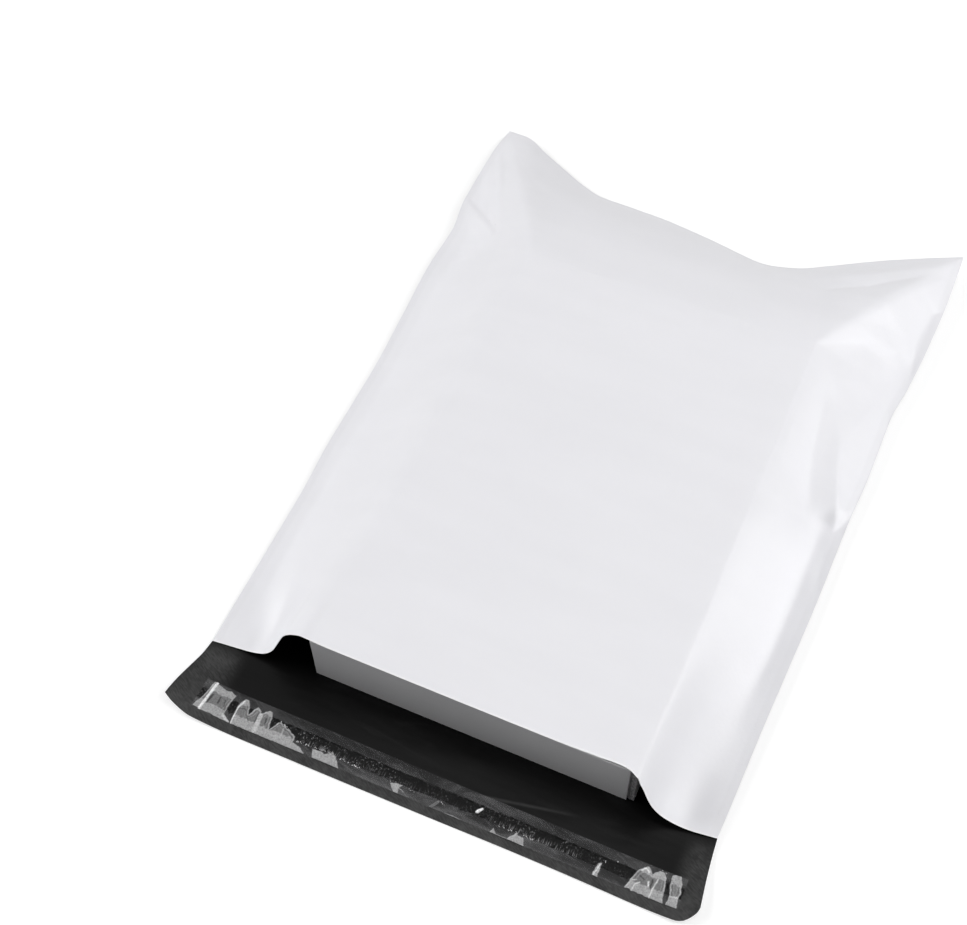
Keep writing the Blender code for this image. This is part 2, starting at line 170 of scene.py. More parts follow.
# Where one profile gives way to the next along the weld: start and length in mm
FRONT_FADE, MOUTH_FADE = (-25, 60), (-195, 90)
LIP_SETTLES = 40
PANEL_Z = carton_high[2] + 0.35
END_LEFT, END_RIGHT = 0.285, 0.742
CORNER_SHARE = 0.725
FAN_POINTS = 60
# Rim point where the ridge ends: the bag's corner on the left, a little before it on the right
RIDGE_AT = {-1: FAN_POINTS - 1, 1: FAN_POINTS - 11}

COLUMNS = (56, 52, 56)
ROWS = (120, 76)
slope_steps = spaced(COLUMNS[0], 0.6, 0.5)
panel_steps = spaced(COLUMNS[1], 0.3, 0.3)
row_steps = spaced(ROWS[0], 0.45, 0.4)
end_steps = spaced(ROWS[1], 0.45, 0.5)
edge_x = {-1: carton_low[0] - 0.4, 1: carton_high[0] + 0.4}
back_y = carton_high[1] + 0.4
print("film grid:", sum(COLUMNS) + 1, "columns,", sum(ROWS) + 1, "rows")

# %% [markdown]
# ## The front film as a grid
# Six patches in one grid of rows and columns follow the carton's edges exactly, so the folds
# over the carton stay crisp without a fan of thin triangles at its corners. Each corner patch
# is filled in from its four edges; its heights come from the rulings that fan out of the
# carton's corner, with a ridge towards the bag's corner.

# %% Six patches of film
def coons(front, back, left, right, across, away):
    """Grid of points filled in from four edges that share their corners."""
    s, r = across[None, :, None], away[:, None, None]
    return ((1 - r) * front[None] + r * back[None] + (1 - s) * left[:, None] + s * right[:, None]
            - (1 - s) * (1 - r) * front[0] - s * (1 - r) * front[-1]
            - (1 - s) * r * back[0] - s * r * back[-1])


def faded(weld, fade):
    """0 up to the start of a fade along the weld, 1 from its end on."""
    return ease((weld[:, 1:2] - fade[0]) / fade[1])


def side_patch(side, weld, lip, front_profile, profile):
    """Slope beside the carton, from the weld to the carton's edge, bent into the lip."""
    edge_y = mix(lip[-1, 1], back_y, row_steps)
    blend = ease((edge_y - edge_y[0]) / MOUTH_REACH[side])[:, None]
    band = 1 - WELD_BAND / np.abs(weld[:, :1] - edge_x[side])
    share = np.clip((1 - slope_steps[None]) / band, 0, 1)
    fall = mix(through(front_profile, share), through(profile, share), faded(weld, FRONT_FADE))
    if side > 0:
        fall = mix(through(RIGHT_MOUTH_SLOPE, share), fall, faded(weld, MOUTH_FADE))
    lip_across = (lip[:, 0] - lip[0, 0]) / (lip[-1, 0] - lip[0, 0])
    lip_z = lip[None, :, 2] + (weld[:, 2:] - lip[0, 2]) * (1 - lip_across)
    lean = lip[:, 1] - mix(lip[0, 1], lip[-1, 1], slope_steps)
    x = mix(weld[:, :1], edge_x[side], mix(lip_across[None], slope_steps[None], blend))
    y = mix(weld[:, 1:2], edge_y[:, None], slope_steps[None]) + lean[None] * (1 - blend)
    z = mix(lip_z, mix(weld[:, 2:], PANEL_Z, fall), blend)
    return np.dstack([x, y, z])


def fan(plan, side, weld):
    """Rulings that fan out of a carton's corner: for each point the share of the way to the
    weld, the height there, how far the ruling turned to the end, and from the ridge."""
    corner = np.array([edge_x[side], back_y])
    end = np.linspace(*((0, END_LEFT) if side < 0 else (1, END_RIGHT)), FAN_POINTS)
    rim = np.vstack([along(weld, np.linspace(CORNER_SHARE, 1, FAN_POINTS)),
                     along(CLOSED_END, end[1:])])
    away = rim[:, :2] - corner
    angle = np.arctan2(away[:, 1], away[:, 0] * side)
    offset = plan[..., :2] - corner
    turn = np.arctan2(offset[..., 1], offset[..., 0] * side)
    reach = np.interp(turn, angle, np.linalg.norm(away, axis=1))
    rim_z = np.interp(turn, angle, rim[:, 2])
    last = len(rim) - 1
    stops = np.interp(np.arange(last + 1), (0, RIDGE_AT[side], last), (0, 0.5, 1))
    weight = ease(np.interp(turn, angle, stops))
    band = mix(WELD_BAND, END_BAND, np.clip(weight * 4 - 1.5, 0, 1))
    share = np.clip(np.linalg.norm(offset, axis=2) / (reach - band), 0, 1)
    return share, rim_z, weight, np.abs(turn - angle[RIDGE_AT[side]])


def corner_patch(side, weld_rows, end_columns, weld, profile, ridge):
    """Patch between the side slope and the end slope, seam first, carton last: the heights of
    the front film and of the back film."""
    corner = np.array([edge_x[side], back_y, 0])
    front = mix(weld_rows[0], corner, slope_steps[:, None])
    inner = mix(corner, end_columns[-1], end_steps[:, None])
    plan = coons(front, end_columns, weld_rows, inner, slope_steps, end_steps)
    share, rim_z, weight, off_ridge = fan(plan, side, weld)
    fall = mix(through(profile, share), through(END_SLOPE, share), weight)
    fall += ridge * 4 * share * (1 - share) * np.exp(-off_ridge / RIDGE_SPREAD)
    return (np.dstack([plan[..., :2], mix(rim_z, PANEL_Z, fall)]),
            np.dstack([plan[..., :2], mix(FILM_WALL, rim_z, share ** 2)]))


def film_grids():
    """Facing surfaces of the front film and the back film, as grids of points."""
    front_shares = row_steps * CORNER_SHARE
    end_shares = mix(CORNER_SHARE, 1, end_steps)
    mouth_y = (LEFT_WELD[0][1], RIGHT_WELD[0][1])
    mouth_x = (LEFT_WELD[0][0], RIGHT_WELD[0][0])
    fronts, backs = {}, {}
    for side, weld, lip, front_profile, profile, ridge, end in (
            (-1, LEFT_WELD, along(LIP_LEFT, slope_steps), LEFT_SLOPE, LEFT_SLOPE, RIDGE_LEFT,
             slope_steps * END_LEFT),
            (1, RIGHT_WELD, along(LIP_RIGHT, 1 - slope_steps), RIGHT_FRONT_SLOPE, RIGHT_SLOPE,
             RIDGE_RIGHT, 1 - slope_steps * (1 - END_RIGHT))):
        weld_points = along(weld, front_shares)
        front, back = corner_patch(side, along(weld, end_shares), along(CLOSED_END, end), weld,
                                   profile, ridge)
        beside = side_patch(side, weld_points, lip, front_profile, profile)
        fronts[side] = np.vstack([beside, front[1:]])
        start_y = np.interp(edge_x[side], mouth_x, mouth_y)
        under = mix(weld_points[:, None], np.dstack([
            np.full((len(row_steps), 1), edge_x[side]),
            mix(start_y, back_y, row_steps)[:, None],
            np.zeros((len(row_steps), 1))]), slope_steps[None, :, None])
        under[..., 2] = mix(FILM_WALL, weld_points[:, 2:], (1 - slope_steps[None]) ** 2)
        backs[side] = np.vstack([under, back[1:]])
    x = mix(edge_x[-1], edge_x[1], panel_steps)
    wide = np.broadcast_to(x, (len(row_steps), len(x)))
    lip = through(LIP_OVER, x)
    settle = ease((row_steps * (back_y - lip[0, 0])) / LIP_SETTLES)[:, None]
    panel = np.dstack([wide, mix(lip[None, :, 0], back_y, row_steps[:, None]),
                       mix(lip[None, :, 1], PANEL_Z, settle)])
    base = np.dstack([wide, mix(np.interp(x, mouth_x, mouth_y)[None], back_y, row_steps[:, None]),
                      np.full(wide.shape, FILM_WALL)])
    end_line = along(CLOSED_END, mix(END_LEFT, END_RIGHT, panel_steps))
    end_plan = mix(panel[-1][None], end_line[None], end_steps[:, None, None])
    reach = np.linalg.norm(end_line[:, :2] - panel[-1, :, :2], axis=1)
    share = np.clip(end_steps[:, None] * reach / (reach - END_BAND), 0, 1)
    puffed = np.dstack([end_plan[..., :2],
                        mix(end_line[None, :, 2], PANEL_Z, through(END_SLOPE, share))])
    lifted = np.dstack([end_plan[..., :2], mix(FILM_WALL, end_line[None, :, 2], share ** 2)])
    return [np.hstack([parts[-1], np.vstack([middle, end[1:]])[:, 1:-1], parts[1][:, ::-1]])
            for parts, middle, end in ((fronts, panel, puffed), (backs, base, lifted))]


front_grid, back_grid = film_grids()
print("front film", front_grid.shape, "lowest", front_grid.min((0, 1)).round(1),
      "highest", front_grid.max((0, 1)).round(1))

# %% [markdown]
# ## Creases as a net
# Film that is pulled over a corner breaks into flat facets with sharp creases between them.
# Each net below is a set of points, placed from the photograph, with the height by which each
# one stands above or below the smooth film. A constrained triangulation keeps the crease lines
# as edges, so the film between them stays flat, as real facets are.

# %% Crease nets
RIGHT_NET = {
    # Ridge from the carton's corner to the bag's corner
    "r0": (105.2, 118.6, 0), "r1": (121.6, 151.0, 0.9), "r2": (140.3, 182.4, 1.5),
    "r3": (159.2, 214.5, 1.4), "r4": (173.0, 239.5, 0.3),
    # Gathers above the ridge: two valleys and the soft rise between them
    "a0": (171.0, 246.0, 0), "a1": (151.0, 223.0, -1.5), "a2": (125.5, 199.5, -2.4),
    "a3": (100.0, 184.5, -1.8), "a4": (66.0, 180.0, 0), "b0": (168.0, 251.0, 0),
    "b1": (146.5, 232.0, 0.5), "b2": (122.0, 214.0, 0.5), "b3": (94.0, 199.0, 0.3),
    "c1": (130.0, 229.0, -0.9), "c2": (98.0, 209.0, -0.9), "c3": (70.0, 196.0, 0),
    "e1": (150.0, 246.0, 0), "e2": (118.0, 234.0, 0), "e3": (88.0, 220.0, 0),
    "e4": (60.0, 207.0, 0), "e5": (44.0, 186.0, 0), "p1": (62.0, 158.0, 0),
    "p2": (84.0, 142.0, 0), "p3": (98.0, 124.0, 0),
    # Weld
    "s0": (179.6, 262.0, 0), "s1": (177.4, 211.0, 0), "s2": (175.8, 170.0, 0),
    "s3": (174.0, 140.0, 0), "s4": (169.2, 102.0, 0), "s5": (168.6, 61.0, 0),
    "s6": (167.2, 24.0, 0), "s7": (165.8, 4.0, 0), "s8": (163.5, -60.0, 0),
    # Loose fold beside the weld, and small wrinkles out of the carton's corner
    "v1": (171.6, 205.0, -1.5), "v2": (168.5, 178.0, -1.7), "v3": (170.5, 158.0, -1.3),
    "v4": (164.0, 200.0, 0.8), "v5": (162.5, 172.0, 0.8),
    "w1": (142.4, 157.1, 0.9), "w2": (158.1, 158.5, 0.5), "w3": (134.0, 146.0, 0.0),
    "w4": (146.0, 171.0, 0.2), "w5": (150.0, 148.0, -0.3),
    # Flat facet beside the weld
    "g1": (157.0, 112.0, 2.2), "g2": (160.5, 127.0, 0.2), "g3": (163.5, 145.0, 0.2),
    # Bright facet between its crest and the weld
    "f0": (126.5, 107.5, 1.0), "f1": (145.0, 122.5, 2.0), "f2": (144.5, 64.0, 4.6),
    "f3": (156.5, 18.5, 4.6),
    # Dent between the carton and the crest, and the film under the crest's lower end
    "d1": (119.6, 110.0, -0.1), "d2": (126.0, 79.0, -1.8), "d3": (129.5, 49.0, -3.3),
    "d4": (134.5, 25.0, -4.2), "d5": (140.5, 8.0, -3.6), "h1": (150.0, -3.0, -1.6),
    "o3": (118.5, 42.0, -1.0), "o4": (122.0, 20.0, -1.4), "o5": (129.5, 2.0, -1.0),
    "t1": (159.5, 8.0, -0.6), "h2": (157.5, -9.0, -0.6),
    "m1": (112.0, 62.0, 0.5), "m2": (113.5, 22.0, 0.6),
    "m3": (123.0, -5.0, 0.7), "m4": (137.0, -18.0, 0.7), "m5": (152.0, -22.0, 0.3),
    "k1": (106.4, 100.0, 0), "k2": (106.4, 60.0, 0), "k3": (106.4, 20.0, 0),
    "k4": (106.4, -40.0, 0), "k5": (120.0, -60.0, 0), "k6": (142.0, -66.0, 0),
}
RIGHT_CREASES = (
    "r0 r1 r2 r3 r4", "a0 a1 a2 a3 a4", "b0 b1 b2 b3", "c1 c2", "f0 f2 f3", "f0 f1 g1 s4",
    "f3 s6", "d1 d2 d3 d4 d5 h1 h2", "d1 o3 o4 o5 h1", "h1 t1", "r0 w1 w2", "v1 v2 v3", "v4 v5",
    "m1 m2 m3 m4 m5",
)
LEFT_NET = {
    # Pleat from the kink in the weld: its ridge, the narrow dark side, and its pale end
    "k0": (-180.4, 184.0, 0), "k1": (-166.8, 170.9, 1.4), "k2": (-153.6, 159.0, 1.9),
    "k3": (-141.8, 147.6, 1.3), "k4": (-138.8, 140.5, 1.0),
    "j1": (-163.9, 174.4, -1.7), "j2": (-150.4, 162.9, -2.1), "j3": (-139.0, 151.2, -1.0),
    # Ridge beside it, with flatter film either side
    "n0": (-177.0, 246.0, 0), "n1": (-168.5, 224.0, 1.9), "n2": (-160.7, 205.5, 2.9),
    "n3": (-146.3, 172.6, 2.4), "n4": (-137.8, 154.0, 0.9),
    "c0": (-165.0, 226.0, 0.1), "c1": (-154.6, 201.0, 0.3), "c2": (-142.0, 176.0, 0.9),
    "g1": (-176.0, 206.0, -0.6), "g2": (-169.0, 190.5, -1.1), "g3": (-155.0, 173.0, -1.2),
    "l1": (-172.0, 163.0, -0.2), "l2": (-158.5, 149.0, -0.2), "l3": (-147.0, 139.0, 0.1),
    # Soft dent by the weld
    "d1": (-157.0, 127.0, -2.0), "d2": (-164.0, 116.0, -1.0), "d3": (-165.0, 137.0, 0.3),
    "d4": (-147.0, 122.0, 0), "d5": (-154.0, 106.0, 0),
    # Band along the closed end
    "b1": (-150.0, 222.0, -1.4), "b2": (-134.0, 204.0, -1.6), "b3": (-112.0, 193.0, -1.0),
    "s1": (-180.6, 240.0, 0), "s2": (-181.0, 212.0, 0), "s3": (-175.0, 148.0, 0),
    "s4": (-175.5, 112.0, 0), "s5": (-172.0, 80.0, 0), "e0": (-178.0, 262.0, 0),
    "e1": (-146.0, 252.0, 0), "e2": (-120.0, 238.0, 0), "e3": (-90.0, 222.0, 0),
    "e4": (-80.0, 190.0, 0), "e5": (-96.0, 160.0, 0), "e6": (-99.5, 124.0, 0),
    "e7": (-126.0, 128.0, 0), "e8": (-130.0, 150.0, 0.2), "e9": (-128.0, 90.0, 0),
}
LEFT_CREASES = (
    "k0 k1 k2 k3 k4", "j1 j2 j3", "n0 n1 n2 n3 n4", "c0 c1 c2", "g1 g2 g3", "l1 l2 l3",
    "b1 b2 b3",
)


def net_lift(net, creases, x, y):
    """Height that a crease net adds at each point."""
    names = list(net)
    edges = []
    for line in creases:
        stops = [names.index(name) for name in line.split()]
        edges += list(zip(stops, stops[1:]))
    spots, _, faces, origin, _, _ = delaunay_2d_cdt(
        [Vector(net[name][:2]) for name in names], edges, [], 0, 1e-6)
    lifts = [net[names[came[0]]][2] if came else 0.0 for came in origin]
    total = np.zeros_like(x)
    for a, b, c in faces:
        (ax, ay), (bx, by), (cx, cy) = spots[a], spots[b], spots[c]
        area = (by - cy) * (ax - cx) + (cx - bx) * (ay - cy)
        if abs(area) < 1e-6:
            continue
        u = ((by - cy) * (x - cx) + (cx - bx) * (y - cy)) / area
        v = ((cy - ay) * (x - cx) + (ax - cx) * (y - cy)) / area
        w = 1 - u - v
        within = (u >= -1e-9) & (v >= -1e-9) & (w >= -1e-9)
        total[within] = (u * lifts[a] + v * lifts[b] + w * lifts[c])[within]
    return total


print("crease nets:", len(RIGHT_NET), "and", len(LEFT_NET), "points")

# %% [markdown]
# ## Soft waves
# Between the creases the film is never quite flat. Sums of slow waves with a fixed seed give it
# a slight unrest, long across the carton's top, where the film is drawn tight from side to
# side. Thin film takes its light from such tiny changes of slope.

# %% Waves
def waves(x, y, length_x, length_y, seed, count=26):
    """Slow random waves of about unit height, with these typical lengths."""
    draw = np.random.default_rng(seed)
    total = np.zeros_like(x)
    for _ in range(count):
        turn_x, turn_y = draw.normal(size=2) * 2 * math.pi / (length_x, length_y) * 0.6
        total += np.cos(turn_x * x + turn_y * y + draw.uniform(0, 2 * math.pi))
    return total / math.sqrt(count / 2)


def soften(grid, passes):
    """Round the heights off a little; the film's edges stay where they are."""
    z = grid[..., 2]
    for _ in range(passes):
        z[1:-1, 1:-1] = z[1:-1, 1:-1] / 2 + (
            z[:-2, 1:-1] + z[2:, 1:-1] + z[1:-1, :-2] + z[1:-1, 2:]) / 8


def off_outline(grid, lines=(LEFT_WELD, CLOSED_END, RIGHT_WELD)):
    """Distance of each point from the bag's closed outline, in the plane."""
    rim = np.vstack([along(line, np.linspace(0, 1, 200)) for line in lines])[:, :2]
    flat = grid[..., :2].reshape(-1, 2)
    nearest = [np.sqrt(((flat[k:k + 2000, None] - rim[None]) ** 2).sum(2)).min(1)
               for k in range(0, len(flat), 2000)]
    return np.concatenate(nearest).reshape(grid.shape[:2])


ROUNDING_PASSES = 10
# Distances in mm over which the creases and waves fade out towards the film's edges
NET_FADE, WAVE_FADE, BACK_FADE, PANEL_FADE = 2.5, 26, 14, 12
# Heights of the waves in mm: on the slopes, on the carton's top, everywhere, on the back film
SLOPE_WAVE, PANEL_WAVE, FINE_WAVE, BACK_WAVE = 0.34, 0.15, 0.05, 0.5
soften(front_grid, ROUNDING_PASSES)
rim_distance = off_outline(front_grid)
x, y = front_grid[..., 0], front_grid[..., 1]
over_carton = (x > edge_x[-1]) & (x < edge_x[1]) & (y < back_y)
on_panel = (ease((x - edge_x[-1]) / PANEL_FADE) * ease((edge_x[1] - x) / PANEL_FADE)
            * ease((back_y - y) / PANEL_FADE))
lift = sum(net_lift(net, creases, x, y) for net, creases in (
    (RIGHT_NET, RIGHT_CREASES), (LEFT_NET, LEFT_CREASES)))
front_grid[..., 2] += lift * ease(rim_distance / NET_FADE)
front_grid[..., 2] += ease(rim_distance / WAVE_FADE) * (
    (1 - on_panel) * SLOPE_WAVE * waves(x, y, 46, 70, 5)
    + on_panel * PANEL_WAVE * waves(x, y, 230, 44, 9) + FINE_WAVE * waves(x, y, 26, 22, 3))
front_grid[..., 2] = np.where(over_carton, np.maximum(front_grid[..., 2], PANEL_Z - 0.2),
                              front_grid[..., 2])
soften(front_grid, 1)
back_free = ease((back_grid[..., 2] - FILM_WALL) / 2.5) * ease(rim_distance / BACK_FADE)
back_grid[..., 2] += back_free * BACK_WAVE * waves(back_grid[..., 0], back_grid[..., 1],
                                                   40, 60, 21)
back_grid[..., 2] = np.maximum(back_grid[..., 2], FILM_WALL)
front_grid[..., 2] = np.maximum(front_grid[..., 2], back_grid[..., 2] + 0.02)
print("net lifts, mm:", lift.min().round(1), "to", lift.max().round(1),
      " highest point of the film:", front_grid[..., 2].max().round(1))

# %% [markdown]
# ## The flap
# The back film carries on past the mouth. It lies flat, with its two free corners curling up:
# film off a roll keeps some of the roll's set. Both corners are cut round, the left one in a
# longer slant.

# %% Flap
FLAP_LEFT = ((-166.8, -220.0), (-168.6, -232.0), (-173.2, -263.4))
FLAP_RIGHT = ((156.7, -214.2), (157.2, -222.0), (158.7, -238.8), (160.8, -255.9))
FLAP_END = (
    (-173.2, -263.4), (-169.6, -265.2), (-164.0, -267.2), (-153.7, -269.3), (-143.6, -269.4),
    (-80.1, -269.0), (-15.7, -268.2), (77.9, -267.0), (144.5, -267.4), (150.4, -267.3),
    (154.0, -266.2), (157.2, -263.4), (160.3, -258.4), (160.8, -255.9),
)
FLAP_ROWS = 28
CURL = {-1: (7.0, 52.0), 1: (4.2, 40.0)}


def flap_grid(mouth):
    """Upper face of the flap, from the mouth line out to its cut edge."""
    across = (mouth[:, 0] - mouth[0, 0]) / (mouth[-1, 0] - mouth[0, 0])
    away = np.linspace(0, 1, FLAP_ROWS + 1)
    plan = coons(mouth[:, :2], along(FLAP_END, across), along(FLAP_LEFT, away),
                 along(FLAP_RIGHT, away), across, away)
    x, y = plan[..., 0], plan[..., 1]
    height = FILM_WALL + 0.25 * ease(away * 3)[:, None] * (1 + waves(x, y, 60, 30, 15) / 2.2)
    for side, edge in ((-1, x[:, :1]), (1, x[:, -1:])):
        rise, reach = CURL[side]
        height = height + rise * ease(away * 1.1)[:, None] * np.clip(
            1 - np.abs(x - edge) / reach, 0, 1) ** 2
    height = mix(mouth[None, :, 2], height, ease(away * 2.6)[:, None])
    return np.dstack([x, y, np.maximum(height, FILM_WALL)])


back_grid = back_grid[::2, ::2]
flap = flap_grid(back_grid[0])
print("flap depth, mm:", round(float(back_grid[0, 40, 1] - flap[-1, 40, 1]), 1))

# %% [markdown]
# ## One shell of film
# The facing surfaces get the film's thickness outwards. Outside and inside skins meet in thin
# rims: along the welds, the closed end, the lip and the flap. The black inside is a second
# material on the same mesh, because it is the same web of film. Only the upper outside needs
# every point of the grid for its creases; the other skins take every second one, and five-sided
# faces stitch the two spacings together.

# %% Film shell
WHITE, BLACK = 0, 1


def add_object(name, data):
    """A new object in the scene."""
    made = bpy.data.objects.new(name, data)
    bpy.context.scene.collection.objects.link(made)
    return made


def grid_quads(numbers):
    """Quads between the neighbouring points of a grid of point numbers."""
    return np.stack([numbers[:-1, :-1], numbers[:-1, 1:], numbers[1:, 1:], numbers[1:, :-1]],
                    axis=-1).reshape(-1, 4).tolist()


def store(mesh, **values):
    """Numbers kept on a mesh's points, for its material or its tree."""
    for name, numbers in values.items():
        mesh.attributes.new(name, "FLOAT", "POINT").data.foreach_set("value", numbers)


class Shell:
    """Points and faces of a closed shell that is put together skin by skin."""

    def __init__(self):
        self.points, self.faces, self.finish = [], [], []

    def place(self, grid):
        """Add a grid of points and return the grid of their numbers."""
        first = len(self.points)
        self.points.extend(grid.reshape(-1, 3).tolist())
        return np.arange(first, len(self.points)).reshape(grid.shape[:2])

    def cover(self, numbers, finish):
        quads = grid_quads(numbers)
        self.faces.extend(quads)
        self.finish.extend([finish] * len(quads))

    def rim(self, first, second, finish):
        self.cover(np.stack([first, second]), finish)

    def stitch(self, fine, coarse, finish):
        """Rim between a line of points and one with half as many steps."""
        for k in range(len(coarse) - 1):
            self.faces.append([int(v) for v in (fine[2 * k], fine[2 * k + 1], fine[2 * k + 2],
                                                coarse[k + 1], coarse[k])])
            self.finish.append(finish)

    def corner(self, a, b, c, finish):
        self.faces.append([int(a), int(b), int(c)])
        self.finish.append(finish)

    def mesh(self, name, materials, sharp=40):
        made = bpy.data.meshes.new(name)
        made.from_pydata((np.array(self.points) * MM).tolist(), [], self.faces)
        for look in materials:
            made.materials.append(look)
        made.polygons.foreach_set("material_index", self.finish)
        tidy = bmesh.new()
        tidy.from_mesh(made)
        bmesh.ops.recalc_face_normals(tidy, faces=tidy.faces)
        tidy.to_mesh(made)
        tidy.free()
        made.shade_smooth()
        made.set_sharp_from_angle(angle=math.radians(sharp))
        return add_object(name, made)


def outwards(grid, facing):
    """Directions square to a grid's surface, on the side that faces up (1) or down (-1)."""
    down, across = np.gradient(grid, axis=0), np.gradient(grid, axis=1)
    normal = np.cross(across, down)
    normal /= np.maximum(np.linalg.norm(normal, axis=2, keepdims=True), 1e-9)
    return normal * np.where(normal[..., 2:] * facing < 0, -1, 1)


def lining_grid(front):
    """Every second point of the front film's lining, kept under the creases above it."""
    z = front[..., 2]
    padded = np.pad(z, 1, mode="edge")
    lowest = np.min([padded[r:r + z.shape[0], c:c + z.shape[1]]
                     for r in range(3) for c in range(3)], axis=0)
    loose = ~((front[..., 0] > edge_x[-1] - 1) & (front[..., 0] < edge_x[1] + 1)
              & (front[..., 1] < back_y + 1))
    loose[:10] = loose[-2:] = False
    loose[:, :2] = loose[:, -2:] = False
    lining = front.copy()
    lining[..., 2] = np.where(loose, np.maximum(lowest, z - 0.5), z)
    return lining[::2, ::2]


def film_shell(front, back, flap, materials):
    shell = Shell()
    front_out = front + outwards(front, 1) * FILM_WALL
    back_out = back + outwards(back, -1) * FILM_WALL
    flap_out = flap - np.array([0, 0, FILM_WALL])
    back_out[0] = back[0] - np.array([0, 0, FILM_WALL])
    for skin in (back_out, flap_out):
        skin[..., 2] = np.maximum(skin[..., 2], 0)
    top_out, top_in = shell.place(front_out), shell.place(lining_grid(front))
    low_out, low_in = shell.place(back_out), shell.place(back)
    edges = ((slice(None), 0), (slice(None), -1), (-1, slice(None)))
    for edge in edges:
        low_in[edge] = top_in[edge]
    flap_in = np.vstack([low_in[:1], shell.place(flap[1:])])
    flap_under = np.vstack([low_out[:1], shell.place(flap_out[1:])])
    for numbers, finish in ((top_out, WHITE), (low_out, WHITE), (flap_under, WHITE),
                            (top_in, BLACK), (low_in, BLACK), (flap_in, BLACK)):
        shell.cover(numbers, finish)
    for edge in edges:
        shell.stitch(top_out[edge], low_out[edge], WHITE)
    shell.stitch(top_out[0], top_in[0], WHITE)
    for edge in (0, -1):
        shell.rim(flap_in[:, edge], flap_under[:, edge], BLACK)
        shell.corner(top_out[0, edge], top_in[0, edge], low_out[0, edge], BLACK)
    shell.rim(flap_in[-1], flap_under[-1], BLACK)
    # Rows at the lip, which the white film paints lighter: a painted highlight along the cut edge
    lip = np.zeros(len(shell.points))
    lip[top_out[0]] = lip[top_in[0]] = 1
    piece = shell.mesh("mailer_film", materials)
    store(piece.data, lip=lip)
    used = bmesh.new()
    used.from_mesh(piece.data)
    loose = [point for point in used.verts if not point.link_faces]
    bmesh.ops.delete(used, geom=loose, context="VERTS")
    used.to_mesh(piece.data)
    open_edges = sum(1 for edge in used.edges if len(edge.link_faces) != 2)
    triangles = sum(len(face.verts) - 2 for face in used.faces)
    used.free()
    print("mailer_film:", triangles, "triangles,", open_edges, "open edges")
    return piece


# %% [markdown]
# ## Node trees written as sums
# Shader and geometry trees are easier to read as formulas. A Wire is one output socket, and
# each operator on it adds its own Math node. Any other node comes from one method, which takes
# the node's type, its settings and the values or links of its sockets.

# %% Wires and trees
class Wire:
    """One output socket that can be used in sums."""

    def __init__(self, tree, socket):
        self.tree, self.socket = tree, socket

    def math(self, operation, *values):
        return self.tree.add("ShaderNodeMath", {"operation": operation}, dict(enumerate(values)))

    def __add__(self, other): return self.math("ADD", self, other)
    def __radd__(self, other): return self.math("ADD", other, self)
    def __sub__(self, other): return self.math("SUBTRACT", self, other)
    def __rsub__(self, other): return self.math("SUBTRACT", other, self)
    def __mul__(self, other): return self.math("MULTIPLY", self, other)
    def __rmul__(self, other): return self.math("MULTIPLY", other, self)
    def __rtruediv__(self, other): return self.math("DIVIDE", other, self)

    def most(self, other): return self.math("MAXIMUM", self, other)
    def least(self, other): return self.math("MINIMUM", self, other)

    def between(self, low, high):
        """0 below low, 1 above high, smooth in between."""
        return self.tree.add("ShaderNodeMapRange", {"interpolation_type": "SMOOTHSTEP"},
                             {"Value": self, "From Min": low, "From Max": high})

    def other(self, name):
        """Another output of the same node."""
        return Wire(self.tree, self.socket.node.outputs[name])


class Tree:
    """A node tree with one method that adds any node."""

    def __init__(self, nodes):
        self.nodes = nodes
        nodes.nodes.clear()

    def add(self, kind, settings=None, sockets=None, output=None):
        node = self.nodes.nodes.new(kind)
        for name, value in (settings or {}).items():
            if name == "stops":
                ramp = node.color_ramp
                while len(ramp.elements) < len(value):
                    ramp.elements.new(0.5)
                for stop, (place, colour) in zip(ramp.elements, value):
                    stop.position, stop.color = place, colour
            else:
                setattr(node, name, value)
        for name, value in (sockets or {}).items():
            if isinstance(value, Wire):
                self.nodes.links.new(value.socket, node.inputs[name])
            elif value is not None:
                node.inputs[name].default_value = value
        shown = [socket for socket in node.outputs if socket.enabled]
        if not shown:
            return None
        return Wire(self, node.outputs[output] if output is not None else shown[0])


def grey(value):
    return value, value, value, 1


